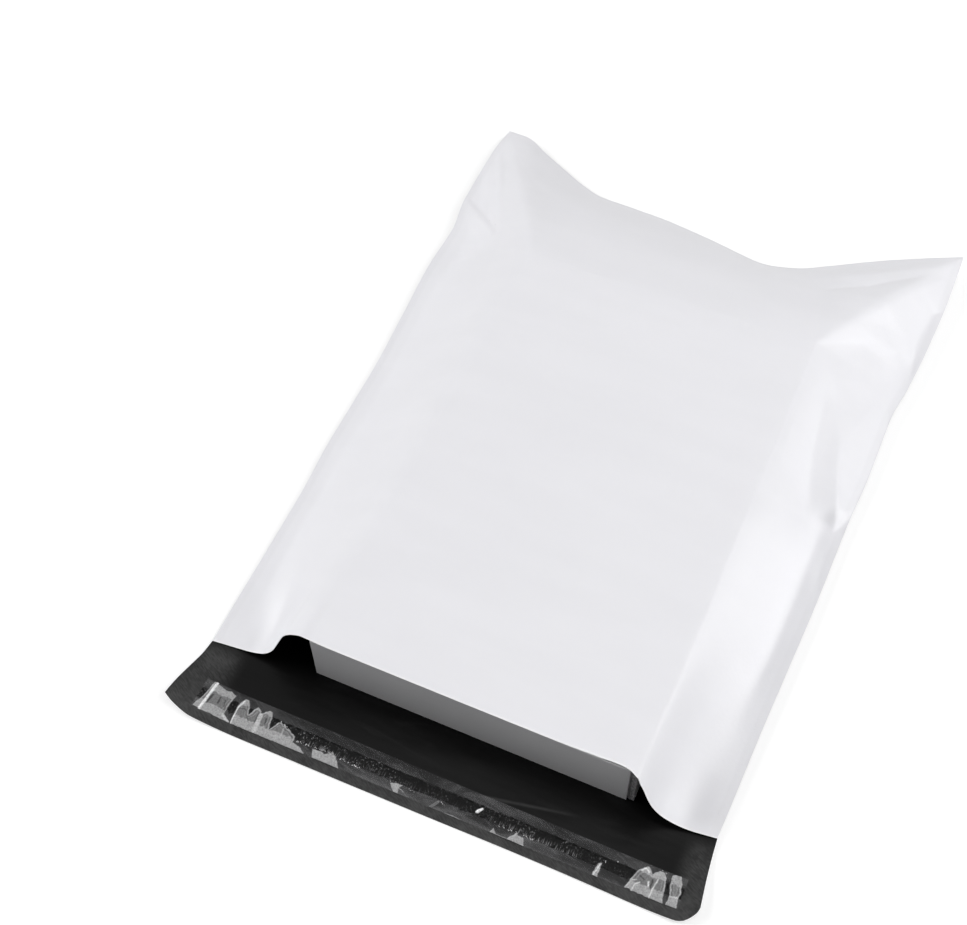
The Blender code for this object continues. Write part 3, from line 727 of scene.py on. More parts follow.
class Finish(Tree):
    """A material: one Principled BSDF, with its patterns in object or attribute space."""

    def __init__(self, name):
        self.material = bpy.data.materials.new(name)
        self.material.use_nodes = True
        super().__init__(self.material.node_tree)

    def place(self):
        return self.add("ShaderNodeTexCoord", output="Object")

    def scaled(self, x, y, z):
        """Object coordinates stretched by these factors."""
        return self.add("ShaderNodeMapping", None, {"Vector": self.place(), "Scale": (x, y, z)})

    def turned(self, degrees, x, y):
        """Object coordinates turned about the upright axis, then stretched."""
        return self.add("ShaderNodeMapping", {"vector_type": "TEXTURE"}, {
            "Vector": self.place(), "Rotation": (0, 0, math.radians(degrees)),
            "Scale": (1 / x, 1 / y, 1 / 300)})

    def noise(self, vector, scale, detail=2.0, roughness=0.5, distortion=0.0):
        return self.add("ShaderNodeTexNoise", None, {
            "Vector": vector, "Scale": scale, "Detail": detail, "Roughness": roughness,
            "Distortion": distortion}, "Fac")

    def attribute(self, name):
        return self.add("ShaderNodeAttribute", {"attribute_name": name}, None, "Fac")

    def blend(self, share, first, second):
        """Colour between two colours."""
        node = self.nodes.nodes.new("ShaderNodeMix")
        node.data_type = "RGBA"
        for socket, value in ((node.inputs[0], share), (node.inputs[6], first),
                              (node.inputs[7], second)):
            if isinstance(value, Wire):
                self.nodes.links.new(value.socket, socket)
            else:
                socket.default_value = value
        return Wire(self, node.outputs[2])

    def bump(self, height, distance, strength=1.0, under=None):
        """Normal from a height field; distance is in metres."""
        return self.add("ShaderNodeBump", None, {
            "Height": height, "Distance": distance, "Strength": strength, "Normal": under})

    def close(self, **sockets):
        """Principled BSDF and output; socket names with underscores for spaces."""
        shader = self.add("ShaderNodeBsdfPrincipled", None,
                          {name.replace("_", " "): value for name, value in sockets.items()})
        self.add("ShaderNodeOutputMaterial", None, {"Surface": shader})
        return self.material


# %% [markdown]
# ## White film and its black lining
# Mailer film is blown in three layers: white outside, black inside so nothing shows through.
# The outside is satin with a very fine haze, and the welds are pressed slightly smoother. The
# lining is the same film seen from the dark side, glossier than it looks because black shows
# every reflection.

# %% Film finishes
def white_film():
    look = Finish("white_film")
    place = look.place()
    haze = look.noise(look.scaled(9, 42, 30), 1, 3, 0.5)
    drawn = look.noise(look.scaled(900, 60, 300), 1, 2, 0.5)
    peel = look.noise(place, 420, 2, 0.5)
    weld = look.attribute("weld")
    dimples = look.noise(place, 1500, 1, 0.5)
    colour = look.blend(haze.between(0.3, 0.7), (0.838, 0.836, 0.868, 1), (0.852, 0.850, 0.882, 1))
    colour = look.blend(weld * 0.25, colour, (0.76, 0.758, 0.785, 1))
    # Painted highlight: the lip's rows are painted lighter than the film, along the cut edge
    colour = look.blend(look.attribute("lip"), colour, (0.97, 0.97, 0.98, 1))
    height = drawn * 0.5 + peel * 0.8 + dimples * weld * 1.6
    normal = look.bump(height, 0.00006)
    return look.close(Base_Color=colour, Roughness=0.30 + haze * 0.10 - weld * 0.05,
                      IOR=1.5, Specular_IOR_Level=0.5, Normal=normal)


# One faint lighter line across the lining: y = slope * x - offset in metres, and how thin it is
PALE_LINE_SLOPE, PALE_LINE_OFFSET, PALE_LINE_FINENESS = 0.205, 0.2494, 700


def black_lining():
    look = Finish("black_lining")
    place = look.place()
    haze = look.noise(place, 40, 3, 0.6)
    peel = look.noise(look.scaled(300, 500, 300), 1, 2, 0.5)
    soft = look.noise(look.scaled(14, 60, 40), 1, 2, 0.5)
    normal = look.bump(peel * 0.4 + soft * 7.0, 0.00008)
    hatch = look.noise(look.turned(-28, 260, 1500), 1, 3, 0.6)
    cloud = look.noise(look.scaled(60, 60, 60), 1, 3, 0.6)
    # Painted sheen: lighter grey painted on the black film where it would reflect light, streaked
    # and clouded
    scuff = look.attribute("scuff") * (0.42 + hatch.between(0.38, 0.62) * 0.42
                                       + cloud.between(0.35, 0.65) * 0.30)
    wisps = look.noise(look.scaled(16, 70, 20), 1, 3, 0.6, 1.2).between(0.5, 0.8)
    parts = look.add("ShaderNodeSeparateXYZ", None, {0: place})
    across, along_y = parts.other("X"), parts.other("Y")
    # 1 on a faint lighter line across the lining, fading out at both ends
    off = (along_y - across * PALE_LINE_SLOPE + PALE_LINE_OFFSET) * PALE_LINE_FINENESS
    pale_line = 1 - off.most(off * -1).least(1.0)
    pale_line = pale_line * across.between(0.008, 0.030) * (1 - across.between(0.055, 0.085))
    colour = look.blend(wisps * 0.8, grey(0.0025), grey(0.009))
    colour = look.blend(pale_line * (0.3 + cloud * 0.7), colour, grey(0.045))
    colour = look.blend(scuff.least(1.0), colour, grey(0.062))
    return look.close(Base_Color=colour, Roughness=0.27 + haze * 0.12, IOR=1.45,
                      Specular_IOR_Level=0.10, Normal=normal)


film = film_shell(front_grid, back_grid, flap, [white_film(), black_lining()])
SEAL_WIDTH, SEAL_FADE = 4.5, 1.5
# Painted sheen, a lighter grey standing in for reflected light: the margin beyond the strip,
# and the flap's two ends; place, fade and strength
MARGIN_Y, MARGIN_FADE, MARGIN_SHEEN = -259.5, 2.0, 0.95
ENDS_X, ENDS_X_FADE, ENDS_Y, ENDS_Y_FADE, ENDS_SHEEN = 139, 13, -214, 16, 0.8
spots = (np.array([point.co[:] for point in film.data.vertices]) / MM)[None]
weld = 1 - ease((off_outline(spots, (LEFT_WELD, RIGHT_WELD))[0] - SEAL_WIDTH) / SEAL_FADE)
x, y = spots[0, :, 0], spots[0, :, 1]
margin = ease((MARGIN_Y - y) / MARGIN_FADE) * MARGIN_SHEEN
ends = ease((np.abs(x) - ENDS_X) / ENDS_X_FADE) * ease((ENDS_Y - y) / ENDS_Y_FADE) * ENDS_SHEEN
store(film.data, weld=weld, scuff=np.maximum(margin, ends))
print("film finished:", [look.name for look in film.data.materials])

# %% [markdown]
# ## Cover strip
# The glue is covered by a thin clear strip that is wider than the glue. It sticks to the glue
# and bridges away from it in air pockets wherever it wrinkled; their silvery tone, which is what
# makes the strip visible at all, is painted reflection in the strip's colour. The strip follows
# the flap, so Geometry Nodes drop a flat grid onto the film; the pockets are heights stored on
# that grid.

# %% Geometry tree helper
def grow(name, base, tree, values):
    """Run a Geometry Nodes tree on a mesh and keep the plain result as a piece."""
    piece = add_object(name, base)
    step = piece.modifiers.new(name, "NODES")
    step.node_group = tree
    for socket in tree.interface.items_tree:
        if socket.in_out == "INPUT" and socket.name in values:
            step[socket.identifier] = values[socket.name]
    piece.update_tag()
    bpy.context.view_layer.update()
    seen = piece.evaluated_get(bpy.context.evaluated_depsgraph_get())
    made = bpy.data.meshes.new_from_object(seen)
    piece.modifiers.clear()
    piece.data = made
    made.name = name
    print(name + ":", len(made.polygons), "faces")
    return piece


def geometry_tree(name, **inputs):
    """A Geometry Nodes tree with named inputs; returns the tree, its maker and its inputs."""
    group = bpy.data.node_groups.new(name, "GeometryNodeTree")
    maker = Tree(group)
    group.interface.new_socket("Geometry", in_out="OUTPUT", socket_type="NodeSocketGeometry")
    group.interface.new_socket("Geometry", in_out="INPUT", socket_type="NodeSocketGeometry")
    for label, kind in inputs.items():
        group.interface.new_socket(label.replace("_", " "), in_out="INPUT",
                                   socket_type="NodeSocket" + kind)
    entry = maker.add("NodeGroupInput")
    return group, maker, {socket.name: Wire(maker, socket)
                          for socket in entry.socket.node.outputs if socket.name}


def hit_below(maker, target):
    """Where a ray straight down from each point meets an object."""
    surface = maker.add("GeometryNodeObjectInfo", {"transform_space": "RELATIVE"},
                        {"Object": target}, "Geometry")
    return maker.add("GeometryNodeRaycast", {"data_type": "FLOAT"}, {
        "Target Geometry": surface, "Ray Direction": (0, 0, -1), "Ray Length": 0.2},
        "Hit Position")


def paint_and_close(maker, shape, finish):
    """The end of a tree: one plain mesh, smooth, with its material."""
    real = maker.add("GeometryNodeRealizeInstances", None, {"Geometry": shape})
    smooth = maker.add("GeometryNodeSetShadeSmooth", None, {"Geometry": real})
    painted = maker.add("GeometryNodeSetMaterial", None, {
        "Geometry": smooth, "Material": finish})
    maker.add("NodeGroupOutput", None, {"Geometry": painted})


# %% Strip tree
def strip_tree():
    """Drop a flat grid on the film, lift it by its stored rise and wrinkles, give it a wall."""
    group, maker, given = geometry_tree(
        "strip_on_film", Film="Object", Lift="Float", Wall="Float", Wrinkle="Float",
        Wrinkle_Size="Float", Seed="Float", Finish="Material")
    rise = maker.add("GeometryNodeInputNamedAttribute", {"data_type": "FLOAT"},
                     {"Name": "rise"}, "Attribute")
    place = maker.add("GeometryNodeInputPosition")
    wave = maker.add("ShaderNodeTexNoise", {"noise_dimensions": "4D"}, {
        "Vector": place, "W": given["Seed"], "Scale": 1 / given["Wrinkle Size"], "Detail": 2.0},
        0)
    up = given["Lift"] + rise + given["Wrinkle"] * wave
    offset = maker.add("ShaderNodeCombineXYZ", None, {"Z": up})
    draped = maker.add("GeometryNodeSetPosition", None, {
        "Geometry": given["Geometry"], "Position": hit_below(maker, given["Film"]),
        "Offset": offset})
    walled = maker.add("GeometryNodeExtrudeMesh", {"mode": "FACES"}, {
        "Mesh": draped, "Offset": (0, 0, 1), "Offset Scale": given["Wall"], "Individual": False},
        "Mesh")
    under = maker.add("GeometryNodeFlipFaces", None, {"Mesh": draped})
    both = maker.nodes.nodes.new("GeometryNodeJoinGeometry")
    maker.nodes.links.new(walled.socket, both.inputs[0])
    maker.nodes.links.new(under.socket, both.inputs[0])
    whole = maker.add("GeometryNodeMergeByDistance", None, {
        "Geometry": Wire(maker, both.outputs[0]), "Distance": 0.000002})
    paint_and_close(maker, whole, given["Finish"])
    return group


on_film = strip_tree()
print("strip tree:", len(on_film.nodes), "nodes")

# %% Pockets of air under the strip
LINER_X = (-156.1, 149.9)
LINER_Y = ((-263.4, -243.4), (-261.1, -243.0))
GLUE_X = (-155.8, 149.6)
GLUE_Y = ((-257.3, -249.6), (-255.4, -248.9))
POCKETS = (
    ((-155.4, -262.8), (-152.8, -254.9), (-151.8, -249.2), (-151.3, -243.4), (-148.3, -244.2),
     (-145.5, -244.8), (-142.5, -245.6), (-138.7, -245.1), (-135.1, -246.5), (-135.8, -250.7),
     (-136.5, -254.9), (-135.9, -259.7), (-131.2, -263.1)),
    ((-130.0, -263.2), (-130.7, -257.5), (-131.1, -252.5), (-130.4, -248.3), (-128.5, -245.5),
     (-126.5, -245.9), (-124.9, -248.1), (-122.9, -253.7), (-121.4, -252.1), (-120.6, -248.9),
     (-119.4, -247.3), (-117.2, -248.2), (-115.4, -250.7), (-114.2, -248.3), (-111.8, -246.4),
     (-109.8, -246.9), (-108.8, -249.4), (-107.1, -257.3), (-105.2, -254.5), (-103.9, -250.9),
     (-102.0, -250.4), (-100.1, -251.6), (-94.8, -253.2), (-90.5, -255.4), (-89.8, -258.9),
     (-84.5, -260.0), (-80.4, -263.1)),
    ((-77.5, -257.9), (-71.7, -257.3), (-69.9, -258.0), (-65.1, -255.4), (-62.6, -256.7),
     (-58.0, -262.9), (-66.6, -263.3), (-75.2, -263.2)),
    ((-26.6, -258.1), (-23.0, -257.0), (-19.0, -256.7), (-20.9, -259.4), (-19.6, -262.9),
     (-21.8, -263.1)),
    ((26.1, -254.1), (26.3, -252.2), (28.8, -250.6), (28.7, -252.5), (27.2, -254.7)),
    ((37.7, -262.6), (38.7, -258.9), (42.0, -261.8), (48.3, -261.6), (49.6, -259.0),
     (51.0, -257.9), (51.6, -256.2), (53.5, -257.6), (56.4, -257.3), (58.6, -261.7),
     (58.3, -262.6)),
    ((99.4, -262.4), (100.5, -254.0), (102.5, -252.6), (102.9, -262.4)),
    ((118.7, -260.6), (120.2, -254.5), (122.8, -248.1), (126.9, -244.3), (130.7, -247.7),
     (133.3, -244.5), (136.1, -244.0), (138.5, -247.3), (139.3, -254.0), (140.9, -261.2)),
    ((142.5, -261.2), (143.1, -255.8), (141.1, -248.8), (141.1, -244.0), (143.4, -242.9),
     (145.6, -242.9), (147.3, -246.5), (148.3, -252.6), (147.9, -255.3), (148.9, -261.1)),
)
# Folds in the strip, painted light as painted glints: the points of the line, its width in mm
# and its brightness
STRIP_FOLDS = (
    (((-150.7, -263.3), (-150.1, -255.3), (-149.1, -243.6)), 1.5, 0.95),
    (((-136.4, -260.2), (-131.7, -263.0)), 1.7, 0.62),
    (((-129.6, -263.0), (-130.4, -257.5), (-130.5, -252.5), (-128.6, -247.2)), 0.8, 0.80),
    (((-115.6, -251.2), (-114.9, -257.0), (-113.8, -263.4)), 2.6, 0.56),
    (((-99.0, -253.4), (-98.2, -258.0)), 0.6, 0.50),
    (((3.6, -262.9), (15.1, -261.9), (24.7, -262.5)), 0.45, 0.60),
    (((0.2, -263.0), (3.6, -257.5)), 1.4, 0.14),
    (((37.7, -262.4), (48.5, -261.9), (58.3, -262.4)), 0.5, 0.62),
    (((122.6, -260.9), (123.6, -256.4), (125.4, -254.9)), 0.55, 0.75),
    (((132.9, -261.4), (133.2, -256.4), (134.2, -249.7)), 0.55, 0.80),
    (((124.3, -247.7), (126.2, -245.9), (128.4, -247.4)), 0.8, 0.78),
    (((129.8, -252.8), (130.4, -255.0)), 0.8, 0.8),
    (((100.4, -261.6), (101.6, -254.4)), 0.6, 0.80), (((26.4, -254.0), (28.6, -251.4)), 1.5, 0.95),
    (((-20.5, -259.2), (-17.2, -260.3)), 0.4, 0.40),
    (((143.4, -256.0), (147.6, -255.4)), 0.6, 0.70),
    (((118.8, -260.2), (121.0, -255.0), (123.2, -254.2)), 0.5, 0.60),
)
# Creases painted dark across a pocket's painted reflection: the points of the line and its
# width in mm
DARK_CREASES = (
    (((-143.0, -251.0), (-142.7, -255.2)), 1.0), (((-147.6, -251.6), (-148.9, -257.2)), 1.1),
    (((-139.4, -251.6), (-138.6, -255.2)), 0.6),
    (((-129.2, -252.2), (-126.6, -251.4), (-125.2, -252.6)), 0.5),
    (((-117.6, -251.0), (-117.0, -256.0)), 0.5), (((-111.8, -251.6), (-110.2, -255.6)), 0.7),
    (((124.6, -251.2), (127.2, -252.6)), 0.7), (((131.6, -250.8), (131.9, -255.6)), 0.9),
    (((-122.6, -255.6), (-120.8, -257.4)), 0.5),
)


def off_segment(points, a, b):
    """Distance of points from the straight line between two ends."""
    way = b - a
    share = np.clip(((points - a) @ way) / (way @ way), 0, 1)
    return np.linalg.norm(points - a - share[:, None] * way, axis=1)


def depth_inside(points, corners):
    """How deep points lie inside a polygon, in mm; negative outside."""
    corners = np.array(corners, float)
    depth = np.full(len(points), np.inf)
    crossings = np.zeros(len(points), int)
    for a, b in zip(corners, np.roll(corners, -1, 0)):
        way = b - a
        depth = np.minimum(depth, off_segment(points, a, b))
        level = (points[:, 1] > a[1]) != (points[:, 1] > b[1])
        meet = a[0] + (points[:, 1] - a[1]) * way[0] / (way[1] if way[1] else 1e-9)
        crossings += level & (points[:, 0] < meet)
    return np.where(crossings % 2 == 1, depth, -depth)


def band_edges(x, x_range, y_ranges):
    """Lower and upper edge of a slanting band at places along it."""
    share = (x - x_range[0]) / (x_range[1] - x_range[0])
    return [mix(y_ranges[0][k], y_ranges[1][k], share) for k in (0, 1)]


def strip_base(x_range, y_ranges, cell, height=30.0):
    """Flat grid over the film, in metres, with its points in mm beside it."""
    across = np.linspace(*x_range, int((x_range[1] - x_range[0]) / cell) + 1)
    rows = int(abs(y_ranges[0][1] - y_ranges[0][0]) / cell) + 1
    up = np.linspace(0, 1, rows)
    low, high = band_edges(across, x_range, y_ranges)
    grid = np.dstack([np.broadcast_to(across, (rows, len(across))), mix(low, high, up[:, None]),
                      np.full((rows, len(across)), height)])
    numbers = np.arange(grid[..., 0].size).reshape(grid.shape[:2])
    mesh = bpy.data.meshes.new("strip_base")
    mesh.from_pydata((grid.reshape(-1, 3) * MM).tolist(), [], grid_quads(numbers))
    return mesh, grid.reshape(-1, 3)[:, :2]


def line_share(points, line, width):
    """1 on a line of this width, 0 beside it."""
    off = np.full(len(points), np.inf)
    for a, b in zip(np.array(line[:-1], float), np.array(line[1:], float)):
        off = np.minimum(off, off_segment(points, a, b))
    return 1 - ease((off - width / 2 + 0.2) / 0.45)


def glue_share(points, soft=0.35):
    """1 over the glue band, 0 beside it."""
    low, high = band_edges(points[:, 0], GLUE_X, GLUE_Y)
    ragged = 0.3 * waves(points[:, 0], points[:, 1], 2.4, 40, 35)
    return (ease((points[:, 1] - low + ragged) / soft + 0.5)
            * ease((high - points[:, 1] + ragged) / soft + 0.5))


def air_pockets(points):
    """How much air lies under the strip, how light its painted reflection is there, and its rise
    in mm.
    """
    shaky = points + 0.13 * np.column_stack([waves(points[:, 0], points[:, 1], 3, 3, seed)
                                             for seed in (31, 32)])
    air, light, rise = np.zeros(len(points)), np.zeros(len(points)), np.zeros(len(points))
    on_glue = glue_share(points)
    for corners in POCKETS:
        depth = depth_inside(shaky, corners)
        inside = ease((depth + 0.15) / 0.35)
        rim = 1 - ease((depth - 0.25) / 0.8)
        ring = np.exp(-((depth - 1.35) / 0.35) ** 2)
        # Painted reflection: light grey in a pocket, darker over the glue with a darker ring, and
        # a painted highlight along its rim
        tone = mix(0.40, 0.185 - 0.06 * ring + 0.10 * np.exp(-((depth - 2.0) / 0.3) ** 2), on_glue)
        tone = mix(tone, 0.46, rim * (0.35 + 0.65 * on_glue))
        air, light = np.maximum(air, inside), np.where(inside > 0, tone, light)
        rise = np.maximum(rise, 0.45 * np.sqrt(np.clip(depth, 0, 3) / 3))
    for line, width in DARK_CREASES:
        light = mix(light, 0.05, line_share(shaky, line, width) * air)
    for line, width, tone in STRIP_FOLDS:
        share = line_share(mix(points, shaky, 0.5), line, width)
        air, light = np.maximum(air, share), mix(light, tone, share)
        rise += 0.25 * share
    rise += air * 0.04 * waves(points[:, 0], points[:, 1], 2.2, 6, 33)
    return {"air": air, "light": light, "on_glue": on_glue, "rise": rise * MM}


def clear_liner():
    look = Finish("clear_liner")
    air, light, on_glue = (look.attribute(name) for name in ("air", "light", "on_glue"))
    along_y = look.add("ShaderNodeSeparateXYZ", None, {0: look.place()}).other("Y")
    above_glue = along_y.between(-0.2500, -0.2485)
    grain = look.noise(look.scaled(1500, 1100, 300), 1, 3, 0.7)
    mottle = look.noise(look.place(), 900, 3, 0.6)
    cloud = look.noise(look.scaled(38, 120, 100), 1, 3, 0.55, 0.8)
    wisps = look.noise(look.turned(-24, 90, 900), 1, 3, 0.6, 0.8)
    # The pockets' silver is painted reflection: the stored light tone, with a fine grain
    tone = look.blend(light, grey(0), (1, 1, 1.01, 1))
    grained = look.blend((grain * 0.7 + mottle * 0.3).between(0.32, 0.68), grey(0.62), grey(1.3))
    silver = look.add("ShaderNodeVectorMath", {"operation": "MULTIPLY"}, {0: tone, 1: grained})
    colour = look.blend(air, (0.50, 0.50, 0.51, 1), silver)
    # Painted sheen: a faint grey veil over the black where the strip lies clear
    sheen_veil = (0.022 + cloud.between(0.38, 0.72) * 0.075 + wisps.between(0.52, 0.75) * 0.07
            + mottle.between(0.5, 0.8) * 0.03) * (1 - above_glue * 0.25)
    alpha = (sheen_veil * (1 - on_glue)).most(air * 0.94)
    normal = look.bump(grain * air * 0.5 + cloud * 1.5, 0.0001)
    return look.close(Base_Color=colour, Alpha=alpha, Roughness=0.30 + mottle * 0.15, IOR=1.45,
                      Specular_IOR_Level=0.3, Normal=normal)


liner_mesh, liner_points = strip_base(LINER_X, LINER_Y, 0.42)
store(liner_mesh, **air_pockets(liner_points))
liner = grow("cover_strip", liner_mesh, on_film, {
    "Film": film, "Lift": 0.00022, "Wall": 0.00008, "Wrinkle": 0.0002, "Wrinkle Size": 0.012,
    "Seed": 4.0, "Finish": clear_liner()})

# %% [markdown]
# ## Glue band
# Hot-melt glue is laid on as a ribbon that is not quite even: fine ripples run across it, and
# its lighter specks are painted glints in its colour. The same tree drops the ribbon onto the
# flap.

# %% Glue
def hot_melt_glue():
    look = Finish("hot_melt_glue")
    crackle, fringe = look.attribute("crackle"), look.attribute("fringe")
    flecks = look.noise(look.scaled(1150, 680, 200), 1, 3, 0.75)
    threads = look.noise(look.scaled(1500, 130, 200), 1, 3, 0.65)
    # Painted glints: light flecks in the glue's colour where its ripples would catch the light
    painted_glints = (flecks.between(0.56, 0.66) * crackle).most(threads.between(0.51, 0.64) * fringe)
    colour = look.blend(painted_glints, grey(0.004), (0.27, 0.27, 0.273, 1))
    normal = look.bump(flecks, 0.0002)
    return look.close(Base_Color=colour, Roughness=0.38 - painted_glints * 0.08, IOR=1.42,
                      Specular_IOR_Level=0.10, Normal=normal)


def zones(x, stops):
    """Strength along the strip, in straight runs between (x, strength) stops."""
    return np.interp(x, *zip(*stops))


# Strength of the glue's painted glints along the strip: as crackle, and as a fringe by its lower
# edge
CRACKLE_GLINTS = ((-156, 0.35), (-104, 0.5), (-96, 1), (-30, 0.9), (-16, 0.35), (26, 0.25), (38, 0.8),
           (88, 0.8), (92, 0.1), (98, 0.5), (116, 0.5), (120, 0.25), (150, 0.35))
FRINGE_GLINTS = ((-156, 0.1), (-90, 0.2), (-78, 0.9), (-40, 0.45), (-20, 0.3), (30, 0.1), (50, 1),
          (86, 0.7), (92, 0), (118, 0.1), (150, 0.2))
glue_mesh, glue_points = strip_base(GLUE_X, GLUE_Y, 0.6)
x, y = glue_points.T
low_edge, high_edge = band_edges(x, GLUE_X, GLUE_Y)
above_edge = y - low_edge
inside = np.minimum(above_edge, high_edge - y)
swell = 0.05 * ease(np.clip(inside, 0, 1.5) / 1.5) * (1 + 0.3 * waves(x, y, 1.6, 9, 41))
patchy = np.clip(0.65 + 0.45 * waves(x, y, 9, 5, 43), 0, 1)
store(glue_mesh, rise=swell * MM, crackle=zones(x, CRACKLE_GLINTS) * patchy,
      fringe=zones(x, FRINGE_GLINTS) * (1 - ease((above_edge - 0.8) / 3.4)))
glue = grow("glue_band", glue_mesh, on_film, {
    "Film": film, "Lift": 0.00004, "Wall": 0.00005, "Wrinkle": 0.00002, "Wrinkle Size": 0.004,
    "Seed": 7.0, "Finish": hot_melt_glue()})

# %% [markdown]
# ## Beads along the glue's edge
# Where the strip lets go of the glue, tiny bubbles and threads catch the light as white dots;
# here they are painted near-white, as painted glints.
# They repeat, so Geometry Nodes scatter them: points on narrow patches beside the glue's edge,
# dropped onto the strip, each with a small squashed ball of a random size.

# %% Bead tree
def bead_tree():
    group, maker, given = geometry_tree(
        "beads_on_strip", Strip="Object", Density="Float", Radius="Float", Seed="Int",
        Finish="Material")
    spots = maker.add("GeometryNodeDistributePointsOnFaces", None, {
        "Mesh": given["Geometry"], "Density": given["Density"], "Seed": given["Seed"]}, "Points")
    laid = maker.add("GeometryNodeSetPosition", None, {
        "Geometry": spots, "Position": hit_below(maker, given["Strip"])})
    ball = maker.add("GeometryNodeMeshIcoSphere", None, {
        "Radius": given["Radius"], "Subdivisions": 2}, "Mesh")
    size = maker.add("FunctionNodeRandomValue", {"data_type": "FLOAT_VECTOR"}, {
        0: (0.5, 0.6, 0.3), 1: (1.2, 2.2, 0.6), "Seed": given["Seed"]}, "Value")
    beads = maker.add("GeometryNodeInstanceOnPoints", None, {
        "Points": laid, "Instance": ball, "Scale": size})
    paint_and_close(maker, beads, given["Finish"])
    return group


BEAD_RUNS = (
    ((-103.4, -249.9), (-101.6, -250.2)), ((-101.5, -250.6), (-94.0, -253.0)),
    ((-89.7, -257.2), (-78.5, -257.0)), ((-77.0, -256.6), (-64.5, -255.4)),
    ((-60.0, -256.8), (-46.0, -257.4)), ((-28.0, -257.0), (-26.1, -257.3)),
    ((-15.0, -257.2), (-10.8, -257.8)), ((4.0, -257.0), (8.3, -257.4)),
    ((40.5, -256.7), (50.0, -256.2)), ((51.0, -256.0), (62.8, -256.4)),
    ((103.0, -251.4), (104.4, -251.6)), ((109.1, -249.0), (110.4, -249.2)),
    ((134.6, -243.5), (137.6, -243.9)), ((144.0, -255.7), (147.2, -255.5)),
)


def bead_patches(runs, half=0.45):
    points, faces = [], []
    for (x0, y0), (x1, y1) in runs:
        first = len(points)
        points += [(x0, y0 - half, 30), (x1, y1 - half, 30), (x1, y1 + half, 30),
                   (x0, y0 + half, 30)]
        faces.append([first, first + 1, first + 2, first + 3])
    mesh = bpy.data.meshes.new("bead_patches")
    mesh.from_pydata([tuple(v * MM for v in point) for point in points], [], faces)
    return mesh


def bead_finish():
    look = Finish("trapped_air_glints")
    shade = look.noise(look.place(), 900, 1, 0.5)
    # Painted glints: the beads are coloured near-white for the light the bubbles catch
    return look.close(Base_Color=look.blend(shade, (0.62, 0.62, 0.63, 1), (0.92, 0.92, 0.93, 1)),
                      Roughness=0.3 + shade * 0.1, IOR=1.45,
                      Normal=look.bump(shade, 0.00003))


beads = grow("glue_beads", bead_patches(BEAD_RUNS), bead_tree(), {
    "Strip": liner, "Density": 1.3e6, "Radius": 0.00019, "Seed": 11, "Finish": bead_finish()})

# %% [markdown]
# ## Carton
# A plain white board box. Its front flap laps over the end of the side wall and stops a few
# millimetres short of the corner, which leaves a pale cut edge, a dark slit and then the side
# wall's end. Three blocks with rolled edges show that; the CAD block has only the step.

# %% Carton board
def white_board():
    look = Finish("white_board")
    place = look.place()
    cloud = look.noise(place, 38, 4, 0.6)
    fibre = look.noise(look.scaled(260, 1400, 1400), 1, 3, 0.6)
    colour = look.blend(cloud, (0.78, 0.78, 0.80, 1), (0.84, 0.84, 0.855, 1))
    colour = look.blend(fibre.between(0.55, 0.75) * 0.12, colour, (0.70, 0.70, 0.71, 1))
    return look.close(Base_Color=colour, Roughness=0.55 + cloud * 0.1, IOR=1.45,
                      Normal=look.bump(fibre * 0.6 + cloud, 0.00005))


def raw_board():
    """Cut end of the side wall: open flutes between two liners, greyer than the face."""
    look = Finish("raw_board")
    place = look.scaled(1400, 1400, 420)
    flutes = look.noise(place, 1, 2, 0.5)
    fibre = look.noise(look.place(), 1800, 2, 0.6)
    colour = look.blend((flutes * 0.7 + fibre * 0.3).between(0.35, 0.65),
                        (0.30, 0.30, 0.31, 1), (0.62, 0.62, 0.63, 1))
    return look.close(Base_Color=colour, Roughness=0.7 + fibre * 0.1,
                      Normal=look.bump(flutes + fibre * 0.5, 0.0003))


# %% Carton blocks
BOARD = 1.6
FLAP_STOP = 4.4
carton_blocks = (
    (carton_low + (0, BOARD + 0.9, 0), carton_high, 1.1, 0),
    (carton_low, (carton_high[0] - FLAP_STOP, carton_low[1] + BOARD, carton_high[2]), 0.45, 0),
    ((carton_high[0] - FLAP_STOP + 0.75, carton_low[1] + 0.9, carton_low[2] + 0.6),
     (carton_high[0] - 0.1, carton_low[1] + BOARD + 1.6, carton_high[2] - 0.4), 0.5, 1),
)


def block_carton(name, blocks, looks):
    whole = bmesh.new()
    for low, high, roll, finish in blocks:
        low, high = np.array(low), np.array(high)
        made = bmesh.ops.create_cube(whole, size=1.0)["verts"]
        for point in made:
            point.co = Vector(((low + high) / 2 + (high - low) * point.co) * MM)
        edges = list({edge for point in made for edge in point.link_edges})
        faces = list({face for point in made for face in point.link_faces})
        for face in faces:
            face.material_index = finish
        bmesh.ops.bevel(whole, geom=edges, offset=roll * MM, segments=4, profile=0.5,
                        affect="EDGES", clamp_overlap=True, material=-1)
    mesh = bpy.data.meshes.new(name)
    whole.to_mesh(mesh)
    whole.free()
    for look in looks:
        mesh.materials.append(look)
    print(name + ":", len(mesh.polygons), "faces")
    return add_object(name, mesh)


carton = block_carton("white_carton", carton_blocks, [white_board(), raw_board()])

# %% [markdown]
# ## Who rides on what
# A mailer has one body, so every piece rides on the root. The film shell stands for both film
# solids, and the strip, the glue and the carton each for their own.

# %% Riding and replacing
for piece, slot, nodes in ((film, "white_film", ("front_film", "back_film")),
                           (liner, "clear_liner", ("release_liner",)),
                           (glue, "hot_melt_glue", ("adhesive_strip",)),
                           (beads, "clear_liner", ()),
                           (carton, "white_board", ("carton",))):
    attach(piece, "root")
    if nodes:
        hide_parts(*nodes)
print("pieces on the root:", [piece.name for piece in (film, liner, glue, beads, carton)])

